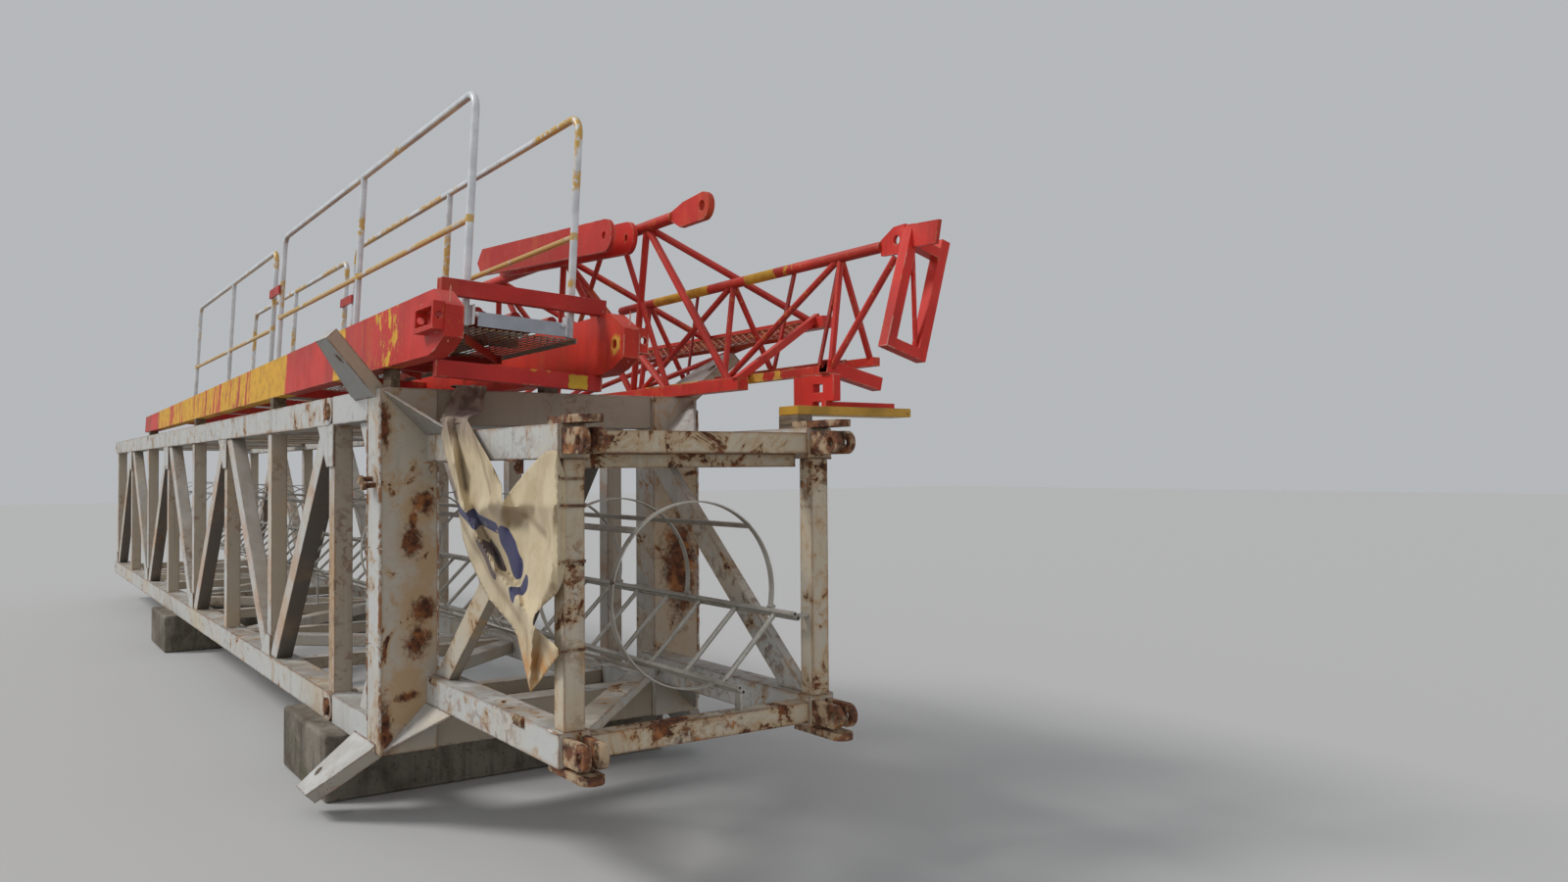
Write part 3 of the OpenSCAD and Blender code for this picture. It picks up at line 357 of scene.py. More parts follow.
def galvanised(name, tone=(0.46, 0.455, 0.44), brown=0.3, yellowed=0.0):
    """Dull zinc: fine spangle, grey-brown deposits, painted shade on faces that look down, a little rust."""
    m = Mat(name)
    v = m.new("TexVoronoi")
    v.inputs["Scale"].default_value = 70
    m.put(m.co, v.inputs["Vector"])
    spangle = m.ramp(v.outputs["Distance"], 0.0, 0.7)
    col = m.mix(m.mul(spangle, 0.35), tone, tuple(c * 0.62 for c in tone))
    col = m.mix(m.mul(m.ramp(m.noise(6, 5, 0.62), 0.40, 0.66), 0.55), col, (0.24, 0.21, 0.175))
    # painted shade: faces that look down get a darker brown
    under = m.down(0.2, 0.9)
    col = m.mix(m.mul(under, 0.5), col, (0.19, 0.135, 0.095))
    if yellowed:
        stained = m.mul(m.ramp(m.noise(9, 4, 0.6, offset=(4, 4, 4)), 0.46, 0.60), yellowed)
        col = m.mix(stained, col, (0.50, 0.30, 0.06))
    rusty = m.ramp(m.noise(13, 6, 0.7, offset=(2, 7, 1)), 0.68 - 0.22 * brown, 0.74 - 0.16 * brown)
    col = m.mix(rusty, col, m.rust())
    m.bump(m.add(m.mul(rusty, 0.6), m.mul(m.noise(90, 3), 0.3), False), 0.0012)
    return m.done(col, m.add(0.42, m.add(m.mul(rusty, 0.42), m.mul(m.noise(14, 3), 0.12), False)),
                  metallic=m.mul(m.inv(rusty), 0.35), specular=0.5)


# Heights of the middle rails in the counter-jib's frame, near and far railing, in metres
MIDDLE_RAILS = (0.606, 0.551)
# Where one railing ends and the next begins, along the part
RAIL_GAP = -2.30


def rail_paint(name, worn=0.2):
    """White-grey rail paint with brown undersides and yellow older paint at the scuffs."""
    m = Mat(name)
    col = m.mix(m.ramp(m.noise(9, 4), 0.35, 0.65), (0.66, 0.68, 0.70), (0.53, 0.55, 0.57))
    under = m.down(0.35, 0.85)
    stained = m.mix(m.ramp(m.noise(1.6, 4, 0.6), 0.44, 0.58), (0.26, 0.16, 0.095), (0.52, 0.33, 0.10))
    col = m.mix(m.mul(under, 0.80), col, stained)
    height = m.vec("DOT_PRODUCT", m.vec("SUBTRACT", m.scaled((1, 1, 1)), tuple(JIB.translation)),
                   tuple(JIB.to_3x3().col[2]), "Value")
    near, far = (m.mul(m.ramp(height, z - 0.019, z - 0.014), m.inv(m.ramp(height, z + 0.014, z + 0.019)))
                 for z in MIDDLE_RAILS)
    middle = m.mix(m.ramp(m.pos[0], RAIL_GAP - 0.01, RAIL_GAP + 0.01), far, near)
    col = m.mix(m.mul(middle, m.ramp(m.noise(5, 5, 0.7), 0.36, 0.50)), col, (0.56, 0.34, 0.085))
    zone = m.ramp(m.noise(2.3, 4, 0.6), 0.60 - 0.26 * worn, 0.66 - 0.26 * worn)
    col = m.mix(m.mul(zone, m.ramp(m.noise(26, 5, 0.7), 0.40, 0.50)), col, (0.55, 0.33, 0.07))
    rusty = m.ramp(m.noise(30, 5, 0.7, offset=(3, 3, 1)), 0.67, 0.70)
    col = m.mix(rusty, col, m.rust())
    m.bump(m.mul(m.noise(80, 3), 0.4), 0.0008)
    return m.done(col, m.add(0.34, m.mul(rusty, 0.5)), specular=0.5)


def concrete_mat(name):
    """Old concrete: mossy dark skin, pale worn corners, pits and board marks."""
    m = Mat(name)
    col = m.mix(m.ramp(m.noise(3, 6, 0.65), 0.34, 0.66), (0.085, 0.068, 0.050), (0.21, 0.185, 0.150))
    streaks = m.ramp(m.noise(1.0, 5, 0.6, by=(12, 12, 1.6)), 0.48, 0.70)
    col = m.mix(m.mul(streaks, 0.7), col, (0.055, 0.045, 0.034))
    moss = m.mul(m.ramp(m.noise(5, 5, 0.7, offset=(7, 1, 2)), 0.54, 0.66), 0.55)
    col = m.mix(moss, col, (0.085, 0.085, 0.040))
    col = m.mix(m.mul(m.edges(0.03), m.ramp(m.noise(8, 4), 0.42, 0.58)), col, (0.44, 0.42, 0.37))
    pits = m.ramp(m.noise(55, 4, 0.6), 0.60, 0.68)
    col = m.mix(m.mul(pits, 0.7), col, (0.05, 0.042, 0.034))
    height = m.add(m.mul(m.noise(7, 6, 0.6), 0.8), m.mul(m.inv(pits), 0.5), False)
    m.bump(height, 0.006, 0.8)
    return m.done(col, m.add(0.80, m.mul(m.noise(9, 3), 0.15)), specular=0.3)


def timber_mat(name, tone=(0.20, 0.145, 0.095)):
    """Weathered timber with grain along the part."""
    m = Mat(name)
    grain = m.noise(1.0, 5, 0.6, by=(5, 60, 60), bend=0.6)
    col = m.mix(m.ramp(grain, 0.35, 0.65), tone, tuple(c * 0.42 for c in tone))
    col = m.mix(m.mul(m.ramp(m.noise(6, 4), 0.5, 0.7), 0.6), col, (0.25, 0.225, 0.19))
    m.bump(grain, 0.002, 0.7)
    return m.done(col, m.add(0.72, m.mul(grain, 0.2)), specular=0.3)


def canvas_mat(name, prints=(), folds=()):
    """Cream tarpaulin: fine weave, painted shade along creases, along the given fold lines and on faces that
    look down, plain dark bands, stains at the tip, and a darker gathered top.
    """
    m = Mat(name)
    warp = m.new("TexWave")
    warp.inputs["Scale"].default_value = 190
    m.put(m.scaled((1, 1, 0)), warp.inputs["Vector"])
    weft = m.new("TexWave")
    weft.bands_direction = "Z"
    weft.inputs["Scale"].default_value = 190
    m.put(m.co, weft.inputs["Vector"])
    weave = m.mul(warp.outputs["Fac"], weft.outputs["Fac"])
    col = m.mix(m.ramp(m.noise(5, 5, 0.6), 0.36, 0.68), (0.60, 0.50, 0.33), (0.47, 0.37, 0.22))
    col = m.mix(m.mul(weave, 0.12), col, (0.36, 0.29, 0.18))
    # painted shade: dark lines along random creases of the sheet
    crease = m.ramp(m.noise(1.0, 6, 0.75, by=(26, 26, 8), bend=1.4), 0.58, 0.64)
    col = m.mix(m.mul(crease, 0.42), col, (0.30, 0.22, 0.13))
    # painted shade: faces that look down get a darker brown
    down = m.down(0.02, 0.45)
    col = m.mix(m.mul(down, 0.62), col, (0.30, 0.205, 0.115))
    # painted shade: soft brown bands along the listed fold lines
    for line, r in folds:
        col = m.mix(m.mul(m.stroke(line, r, 0.022), 0.62), col, (0.25, 0.165, 0.092))
    low = m.inv(m.ramp(m.pos[2], 0.84, 1.00))
    col = m.mix(m.mul(low, m.ramp(m.noise(16, 5, 0.6), 0.30, 0.60)), col, (0.50, 0.25, 0.075))
    for band, r, colour in prints:
        col = m.mix(m.mul(m.stroke(band, r), m.ramp(m.noise(22, 5, 0.7), 0.24, 0.40)), col, colour)
    wet = m.ramp(m.add(m.pos[2], m.mul(m.noise(9, 4), 0.10), False), 1.62, 1.80)
    col = m.mix(m.mul(m.mul(wet, 0.6), m.ramp(m.noise(8, 5, 0.7, by=(1, 1, 0.35)), 0.48, 0.60)), col,
                (0.40, 0.25, 0.12))
    # darker towards the top, over the gathered end
    top = m.ramp(m.add(m.pos[2], m.mul(m.noise(9, 4), 0.12), False), 1.66, 1.86)
    col = m.mix(m.mul(top, 0.90), col, m.mix(m.ramp(m.noise(12, 5), 0.40, 0.60), (0.105, 0.066, 0.052),
                                             (0.25, 0.19, 0.15)))
    m.bump(m.add(m.mul(weave, 0.25), m.mul(m.noise(34, 6, 0.7), 0.8), False), 0.0016, 0.6)
    m.bsdf.inputs["Sheen Weight"].default_value = 0.15
    return m.done(col, 0.82, specular=0.25)


def plate_mat(name):
    """Grey-blue sheet with two yellow specks."""
    m = Mat(name)
    col = m.mix(m.ramp(m.noise(9, 4), 0.35, 0.68), (0.37, 0.41, 0.47), (0.30, 0.33, 0.37))
    for c in ((1.435, -0.020, 1.985), (1.435, 0.045, 1.985)):
        col = m.mix(m.blob(c, (0.05, 0.012, 0.018), 0.8), col, (0.42, 0.33, 0.14))
    m.bump(m.noise(60, 3), 0.0006)
    return m.done(col, 0.42, specular=0.5)


# Shading of the CAD nodes
def geometry_group(name, build):
    """A geometry group whose inside is laid by build."""
    g = bpy.data.node_groups.new(name, "GeometryNodeTree")
    g.interface.new_socket("Geometry", in_out="INPUT", socket_type="NodeSocketGeometry")
    g.interface.new_socket("Geometry", in_out="OUTPUT", socket_type="NodeSocketGeometry")
    start, end = g.nodes.new("NodeGroupInput"), g.nodes.new("NodeGroupOutput")
    g.links.new(build(g, start.outputs[0]), end.inputs[0])
    return g


def build_clean(g, s):
    """Drops the shading that came with the mesh and joins its corners."""
    for name in ("custom_normal", "sharp_edge"):
        n = g.nodes.new("GeometryNodeRemoveAttribute")
        n.inputs["Name"].default_value = name
        g.links.new(s, n.inputs["Geometry"])
        s = n.outputs["Geometry"]
    n = g.nodes.new("GeometryNodeMergeByDistance")
    n.inputs["Distance"].default_value = 0.00002
    g.links.new(s, n.inputs["Geometry"])
    return n.outputs["Geometry"]


def build_smooth(g, s):
    """Smooth shading, but for edges sharper than 38 degrees."""
    face = g.nodes.new("GeometryNodeSetShadeSmooth")
    face.domain = "FACE"
    g.links.new(s, face.inputs["Geometry"])
    angle = g.nodes.new("GeometryNodeInputMeshEdgeAngle")
    less = g.nodes.new("FunctionNodeCompare")
    less.data_type = "FLOAT"
    less.operation = "LESS_THAN"
    less.inputs[1].default_value = math.radians(38)
    g.links.new(angle.outputs["Unsigned Angle"], less.inputs[0])
    edge = g.nodes.new("GeometryNodeSetShadeSmooth")
    edge.domain = "EDGE"
    g.links.new(face.outputs["Geometry"], edge.inputs["Geometry"])
    g.links.new(less.outputs[0], edge.inputs["Shade Smooth"])
    return edge.outputs["Geometry"]


clean = geometry_group("clean_shading", build_clean)
smooth = geometry_group("smooth_by_angle", build_smooth)


def soften(obj, width, segments=2, weld=True):
    """Rounds the hard edges of an object a little and shades the rest smooth."""
    if weld:
        obj.modifiers.new("clean", "NODES").node_group = clean
        planar = obj.modifiers.new("planar", "DECIMATE")
        planar.decimate_type = "DISSOLVE"
        planar.angle_limit = math.radians(0.6)
    if width:
        b = obj.modifiers.new("bevel", "BEVEL")
        b.width = width
        b.segments = segments
        b.limit_method = "ANGLE"
        b.angle_limit = math.radians(38)
        b.use_clamp_overlap = True
    obj.modifiers.new("smooth", "NODES").node_group = smooth
    if width:
        even = obj.modifiers.new("even", "WEIGHTED_NORMAL")
        even.keep_sharp = True


def dress(names, material, width=0.004, segments=2):
    """Gives CAD nodes their material and soft edges; a width of None leaves the shading as it came."""
    for name in names.split():
        obj = nodes[name]
        for slot in obj.material_slots:
            slot.material = material
        if width is not None:
            soften(obj, width, segments)


# Pieces in mesh code
class Build:
    """Collects boxes, tubes, bolts and plates of one piece, in metres of the part."""

    def __init__(self):
        self.verts, self.faces = [], []

    def add(self, verts, faces):
        base = len(self.verts)
        self.verts += [Vector(v) for v in verts]
        self.faces += [tuple(base + i for i in f) for f in faces]

    def box(self, at, lo, hi):
        """at(x, y, z) turns mm into metres; lo and hi are two corners in mm."""
        c = [(x, y, z) for x in (lo[0], hi[0]) for y in (lo[1], hi[1]) for z in (lo[2], hi[2])]
        self.add([at(*p) for p in c],
                 [(0, 1, 3, 2), (4, 6, 7, 5), (0, 4, 5, 1), (2, 3, 7, 6), (0, 2, 6, 4), (1, 5, 7, 3)])

    def tube(self, pts, r, n=12, closed=False, hollow=0.0):
        """A tube along points; hollow is the inner radius at its two open ends."""
        pts = [Vector(p) for p in pts]
        rings = []
        up = None
        count = len(pts)
        for i, p in enumerate(pts):
            if closed:
                t = (pts[(i + 1) % count] - pts[i - 1]).normalized()
            else:
                t = (pts[min(i + 1, count - 1)] - pts[max(i - 1, 0)]).normalized()
            if up is None:
                up = t.orthogonal().normalized()
            up = (up - t * up.dot(t)).normalized()
            side = t.cross(up)
            rings.append([p + r * (math.cos(a) * up + math.sin(a) * side)
                          for a in (2 * math.pi * k / n for k in range(n))])
        verts = [v for ring in rings for v in ring]
        faces = []
        for i in range(count if closed else count - 1):
            a, b = i * n, ((i + 1) % count) * n
            faces += [(a + k, a + (k + 1) % n, b + (k + 1) % n, b + k) for k in range(n)]
        if not closed:
            for end, ring, inward in ((0, rings[0], 1), (1, rings[-1], -1)):
                base = 0 if end == 0 else (count - 1) * n
                if hollow:
                    centre = pts[0] if end == 0 else pts[-1]
                    way = (pts[1] - pts[0]).normalized() if end == 0 else (pts[-1] - pts[-2]).normalized()
                    lip = [centre + (v - centre) * hollow / r for v in ring]
                    deep = [v + way * inward * r * 3 for v in lip]
                    s = len(verts)
                    verts += lip + deep
                    for k in range(n):
                        k2 = (k + 1) % n
                        quads = [(base + k, s + k, s + k2, base + k2),
                                 (s + k, s + n + k, s + n + k2, s + k2)]
                        faces += quads if end == 0 else [tuple(reversed(q)) for q in quads]
                    faces.append(tuple(s + n + k for k in range(n)))
                else:
                    faces.append(tuple(base + k for k in range(n)))
        self.add(verts, faces)

    def disc(self, at, axis, r, h, n):
        """A short round or six-sided boss standing on a point along axis."""
        axis = Vector(axis).normalized()
        self.tube([Vector(at), Vector(at) + axis * h], r, n)

    def bolt(self, at, axis, r=0.011, h=0.009):
        """Washer, six-sided head and a stub of thread."""
        axis = Vector(axis).normalized()
        at = Vector(at)
        self.disc(at - axis * 0.001, axis, r * 1.35, 0.003, 16)
        self.disc(at + axis * 0.002, axis, r, h, 6)
        self.disc(at + axis * (0.002 + h), axis, r * 0.52, 0.003, 10)

    def plate(self, edge, at, t0, t1, across="y"):
        """A flat plate from an edge of points in mm; across names the axis of its thickness."""
        n = len(edge)
        verts = []
        for t in (t0, t1):
            verts += [at(t, a, b) if across == "x" else at(a, t, b) for a, b in edge]
        self.add(verts, [tuple(range(n)), tuple(range(2 * n - 1, n - 1, -1))]
                 + [(k, n + k, n + (k + 1) % n, (k + 1) % n) for k in range(n)])

    def bead(self, a, b, r=0.005, step=0.009):
        """A hand-laid weld bead: a tube whose radius wanders."""
        a, b = Vector(a), Vector(b)
        count = max(3, int((b - a).length / step))
        n = 7
        t = (b - a).normalized()
        up = t.orthogonal().normalized()
        side = t.cross(up)
        verts, faces = [], []
        for i in range(count + 1):
            p = a + (b - a) * i / count
            rr = r * (0.72 + 0.5 * rng.random()) * (0.4 if i in (0, count) else 1)
            verts += [p + rr * (math.cos(q) * up + math.sin(q) * side)
                      for q in (2 * math.pi * k / n for k in range(n))]
        for ring in range(0, count * n, n):
            faces += [(ring + k, ring + (k + 1) % n, ring + n + (k + 1) % n, ring + n + k) for k in range(n)]
        faces += [tuple(range(n)), tuple(count * n + k for k in range(n))]
        self.add(verts, faces)

    def make(self, name, material, slot, width=0.0):
        """Turns what was collected into one piece that rides on the part."""
        mesh = bpy.data.meshes.new(name)
        mesh.from_pydata([tuple(v) for v in self.verts], [], self.faces)
        mesh.update()
        obj = bpy.data.objects.new(name, mesh)
        bpy.context.scene.collection.objects.link(obj)
        bm = bmesh.new()
        bm.from_mesh(mesh)
        bmesh.ops.recalc_face_normals(bm, faces=bm.faces)
        bm.to_mesh(mesh)
        bm.free()
        mesh.materials.append(material)
        soften(obj, width, weld=False)
        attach(obj, "root")
        return obj


# Camera, light, floor
def make_camera():
    """The photograph's camera: solved turn, rise, roll, lens and place."""
    a, p, r = math.radians(54.80), math.radians(1.298), math.radians(-0.387)
    fwd = Vector((-math.sin(a) * math.cos(p), math.cos(a) * math.cos(p), math.sin(p)))
    right = Vector((math.cos(a), math.sin(a), 0))
    up = right.cross(fwd)
    rr = math.cos(r) * right + math.sin(r) * up
    uu = -math.sin(r) * right + math.cos(r) * up
    cam = bpy.data.cameras.new("camera")
    cam.sensor_width = 36
    cam.lens = 36 * 1174.1 / 1600
    cam.clip_end = 200
    obj = bpy.data.objects.new("camera", cam)
    m = Matrix((rr, uu, -fwd)).transposed().to_4x4()
    m.translation = Vector((6.1085, -2.2615, 1.5615))
    obj.matrix_world = m
    bpy.context.scene.collection.objects.link(obj)
    bpy.context.scene.camera = obj


def make_stage():
    """A plain overcast sky, a soft sun from the left, a weak fill and a grey floor."""
    scene = bpy.context.scene
    world = bpy.data.worlds.new("studio")
    world.use_nodes = True
    sky = world.node_tree.nodes["Background"]
    sky.inputs[0].default_value = (0.93, 0.96, 1.0, 1)
    sky.inputs[1].default_value = 0.50
    scene.world = world
    for name, way, power, spread in (("key", (0.42, 0.62, -0.72), 2.0, 18),
                                     ("fill", (-0.75, 0.3, -0.5), 0.35, 60)):
        light = bpy.data.lights.new(name, "SUN")
        light.energy = power
        light.angle = math.radians(spread)
        light.color = (1.0, 0.985, 0.96)
        obj = bpy.data.objects.new(name, light)
        obj.rotation_euler = Vector(way).to_track_quat("-Z", "Y").to_euler()
        scene.collection.objects.link(obj)
    mesh = bpy.data.meshes.new("floor")
    s = 60
    mesh.from_pydata([(-s, -s, 0), (s, -s, 0), (s, s, 0), (-s, s, 0)], [], [(0, 1, 2, 3)])
    floor = bpy.data.objects.new("floor", mesh)
    m = Mat("floor")
    mesh.materials.append(m.done((0.46, 0.46, 0.455), 0.85, specular=0.2))
    scene.collection.objects.link(floor)
    scene.view_settings.view_transform = "Standard"


make_camera()
make_stage()

# CAD nodes
dress("sleeper_near sleeper_far", concrete_mat("old_concrete"), 0.018, 3)
post_blobs = [((0.98, -0.616, 1.418), (0.05, 0.055, 0.060)), ((0.98, -0.667, 1.243), (0.05, 0.050, 0.075)),
              ((0.98, -0.610, 0.937), (0.05, 0.065, 0.070)), ((0.98, -0.640, 0.800), (0.05, 0.060, 0.085)),
              ((0.98, -0.785, 1.756), (0.05, 0.026, 0.120)), ((0.98, -0.780, 0.430), (0.05, 0.035, 0.150)),
              ((0.98, -0.660, 1.340), (0.03, 0.020, 0.060)), ((0.98, -0.690, 0.560), (0.05, 0.060, 0.030))]
post_stains = [((0.98, -0.690, 0.560), (0.06, 0.120, 0.200)), ((0.98, -0.630, 0.930), (0.05, 0.120, 0.210)),
               ((0.98, -0.640, 1.380), (0.05, 0.100, 0.110)), ((0.98, -0.720, 0.500), (0.05, 0.110, 0.110)),
               ((0.98, -0.600, 1.150), (0.05, 0.060, 0.180))]
back_blobs = [((0.98, 0.700, 1.060), (0.06, 0.110, 0.300)), ((0.98, 0.620, 1.560), (0.05, 0.040, 0.060))]
dress("chord_front_top chord_back_top", cream("cream_chord_top", 0.22, 1.0, 0.15, edge=0.75, heavy=0.12))
dress("chord_front_bottom chord_back_bottom",
      cream("cream_chord_low", 0.30, 0.55, 0.35, edge=0.95, shift=4.0, heavy=0.05))
first_flange = [((0.101, -0.797, 0.95), (0.085, 0.016, 0.72))]
dress("web_front web_back",
      cream("cream_web", 0.34, 0.40, 0.40, stains=first_flange, edge=1.0, shift=1.7, dark_under=0.9,
            front_rust=0.55), 0.006)
dress("web_top web_bottom",
      cream("cream_web_flat", 0.42, 0.40, 0.50, edge=0.7, shift=6.1, dark_under=0.7), 0.006)
dress("collar_arms", cream("cream_arm", 0.25, 0.35, 0.15, edge=0.7, shift=2.2), 0.005)
dress("collar_post_front",
      cream("cream_post_front", 0.25, 0.40, 0.30, post_blobs, post_stains, 0.9, 3.3, near=0.55,
            heavy=0.10), 0.006)
dress("collar_post_back",
      cream("cream_post_back", 0.50, 0.40, 0.55, back_blobs, (), 0.8, 5.2, near=0.6, heavy=0.45), 0.006)
dress("collar_beams", cream("cream_beam", 0.30, 0.35, 0.45, edge=0.6, shift=8.0, shade=0.86), 0.005)
dress("collar_gussets", cream("cream_gusset", 0.36, 0.35, 0.40, edge=0.8, shift=2.9), 0.003)
dress("strut_stubs", cream("cream_stub", 0.40, 0.30, 0.10, edge=0.8, shift=7.4, shade=1.08), 0.004)
dress("bay_chords", cream("cream_bay", 0.32, 0.40, 0.28, edge=1.0, shift=9.1, near=0.5, heavy=0.08), 0.005)
dress("bay_braces",
      cream("cream_brace", 0.45, 0.30, 0.55, edge=0.6, shift=3.8, near=0.3, heavy=0.15), 0.004)
dress("bay_end_posts",
      cream("cream_end_post", 0.60, 0.35, 0.75, edge=1.0, shift=5.9, near=0.3, heavy=0.42), 0.004)
dress("bay_crossbars",
      cream("cream_crossbar", 0.95, 0.30, 0.95, edge=1.0, shift=0.8, near=0.2, heavy=0.85,
            pale_below=2.302), None)
rusty = Mat("rusted_steel")
scale_mask = rusty.ramp(rusty.noise(13, 6, 0.7), 0.47, 0.60)
rusty_mat = rusty.done(rusty.mix(rusty.mul(scale_mask, 0.85), rusty.rust(40), (0.44, 0.33, 0.21)),
                       rusty.add(0.62, rusty.mul(rusty.noise(20, 4), 0.3)), specular=0.4)
rusty.bump(rusty.noise(70, 5, 0.7), 0.004, 0.8)
dress("lugs section_pins", rusty_mat, 0.004)
zinc = galvanised("dull_zinc", (0.52, 0.50, 0.45), 0.35)
dress("ladder_straps ladder_hoops", zinc, 0.0015)
dress("packers", timber_mat("packer_timber"), 0.003)
girder_zones = [(-6.67, -2.04, 0.10, 0.78), (-2.08, -1.02, 0.06, 1.3), (0.06, 0.28, 0.04, 1.0),
                (0.72, 1.24, 0.10, 0.40)]
dress("girder_front", red("red_girder_front", 0.12, girder_zones, 0.6, (0.58, 0.026, 0.016)), 0.004)
rim = [((1.665, -0.012, 2.093), (0.052, 0.020, 0.050))]
dress("girder_back", red("red_girder_back", 0.10, [(-6.8, -3.5, 0.2, 0.6)], 0.6, (0.66, 0.034, 0.016),
                         blobs=rim, shift=3.0), 0.004)
dress("deck_cross_beams", red("red_deck_beams", 0.2, worn=0.5, shift=5.0), 0.003)
dress("end_beams", red("red_end_beams", 0.05, (), 0.35, (0.52, 0.026, 0.020), 0.5,
                       [((1.47, -0.296, 1.990), (0.03, 0.022, 0.012)),
                        ((1.47, -0.230, 1.985), (0.02, 0.010, 0.008))],
                       1.3), 0.003)
dress("toe_plate", plate_mat("grey_blue_plate"), 0.001)
dress("railing_front", rail_paint("rail_paint_front", 0.07), 0.0)
dress("railing_back", rail_paint("rail_paint_back", 0.48), 0.0)
dress("rail_clamps", red("red_clamps", 0.2, worn=0.8, shift=2.5), 0.002)
dress("tie_link", red("red_link", 0.12, (), 0.8, (0.62, 0.032, 0.022), 0.5, (), 6.0), 0.003)
dress("tie_bars", red("red_bars", 0.35, (), 0.4, (0.44, 0.026, 0.020), 0.6, (), 7.0), 0.0)
jib_red = red("red_jib_chords", 0.25, (), 0.6, (0.60, 0.032, 0.022), 0.5, (), 8.0, 0.75)
dress("jib_root_chords", jib_red, 0.003)
dress("jib_root_web", red("red_jib_web", 0.18, (), 0.3, (0.58, 0.038, 0.028), 0.65, (), 9.0), 0.0)
dress("jib_root_eye", red("red_eye", 0.1, (), 0.6, (0.62, 0.028, 0.020), 0.4, (), 1.0), 0.004)
tip_zones = [(0.50, 1.10, 0.05, 1.15), (1.41, 1.69, 0.05, 0.95), (1.69, 1.86, 0.05, 0.55)]
dress("jib_tip_chords",
      red("red_tip_chords", 0.15, tip_zones, 0.7, (0.58, 0.040, 0.024), 0.3, (), 5.5), 0.002)
dress("jib_tip_web", red("red_tip_web", 0.45, (), 0.3, (0.58, 0.036, 0.026), 0.5, (), 4.4), 0.0)
dress("jib_end_frame jib_foot", red("red_frame", 0.06, (), 0.6, (0.62, 0.030, 0.020), 0.4, (), 2.0), 0.003)
dress("bearer", yellow("worn_yellow_bearer", 0.6), 0.004)


# Ladder of round tubes
lad = Build()
near_x, pitch, count, half = 1388, 295, 42, 186
far = near_x - pitch * count
for side in (-1, 1):
    for z in (-11, 11):
        ends = [ladder_at(far, side * half, z), ladder_at(near_x, side * half, z)]
        lad.tube(ends, 0.0112, 12, hollow=0.0075)
    lad.box(ladder_at, (far, side * half - 2, -8), (near_x - 4, side * half + 2, 8))
for i in range(count):
    x = near_x - (i + 0.5) * pitch
    lad.tube([ladder_at(x, -half, 0), ladder_at(x, half, 0)], 0.011, 12)
ladder = lad.make("ladder_tubes", zinc, "galvanised_steel")
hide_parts("ladder")


# Expanded metal
BAR_FACES = [(3, 2, 1, 0), (4, 5, 6, 7), (0, 1, 5, 4), (1, 2, 6, 5), (2, 3, 7, 6), (3, 0, 4, 7)]


def mesh_sheet(at, x0, x1, y0, y1, z, cell_x, cell_y, w, t, skew=0.0):
    """Expanded metal between two corners: flat strands that meet in diamonds."""
    b = Build()
    nx, ny = int(round((x1 - x0) / cell_x)), int(round((y1 - y0) / cell_y))
    cell_x, cell_y = (x1 - x0) / nx, (y1 - y0) / ny
    for i in range(nx):
        for j in range(ny):
            cx, cy = x0 + (i + 0.5) * cell_x, y0 + (j + 0.5) * cell_y
            for sx in (-1, 1):
                for sy in (-1, 1):
                    a = (cx + sx * cell_x / 2, cy)
                    c = (cx, cy + sy * cell_y / 2)
                    dx, dy = c[0] - a[0], c[1] - a[1]
                    n = math.hypot(dx, dy)
                    ox, oy = -dy / n * w / 2, dx / n * w / 2
                    foot = [(a[0] + ox, a[1] + oy, z), (a[0] - ox, a[1] - oy, z),
                            (c[0] - ox, c[1] - oy, z + skew * sy), (c[0] + ox, c[1] + oy, z + skew * sy)]
                    b.add([at(px, py, pz + rise) for rise in (0, t) for px, py, pz in foot], BAR_FACES)
    return b


# First and last edge of the deck along the counter-jib, and its two side edges, in mm
deck_far, deck_near, deck_front, deck_back = 60, 9098, 164, 674
deck = mesh_sheet(jib_at, deck_far, deck_near, deck_front, deck_back, 144, 76, 30, 5, 4, 3.0)
deck.box(jib_at, (deck_far, deck_front, 130), (deck_near, deck_front + 4, 154))
deck.box(jib_at, (deck_far, deck_back - 4, 130), (deck_near, deck_back, 154))
for x in range(deck_far, deck_near, 904):
    deck.box(jib_at, (x, deck_front + 4, 130), (x + 5, deck_back - 4, 147))
deck_obj = deck.make("deck_mesh", galvanised("deck_zinc", (0.30, 0.28, 0.25), 0.5, 0.45), "galvanised_steel")
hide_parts("deck_grating")

WALK = TOWER @ Matrix.Translation((0, 2.0072, 1.9671)) @ Matrix.Rotation(math.radians(33), 4, "X")
walk_at = in_mm(WALK)
walk_far, walk_near, walk_low, walk_high = -2250, 500, -205, -45
walk = mesh_sheet(walk_at, walk_far, walk_near, walk_low, walk_high, 26, 62, 32, 7, 4, 3.0)
for y in (walk_low, walk_high - 4):
    walk.box(walk_at, (walk_far, y, 15.5), (walk_near, y + 4, 37))
for x in range(walk_far, walk_near, 458):
    walk.box(walk_at, (x, walk_low + 4, 15.5), (x + 5, walk_high - 4, 28))
walk_red = red("red_walkway", 0.2, (), 0.4, (0.46, 0.034, 0.024), 0.4, (), 6.6, 0.9)
walk_obj = walk.make("walkway_mesh", walk_red, "red_paint")
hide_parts("jib_walkway")

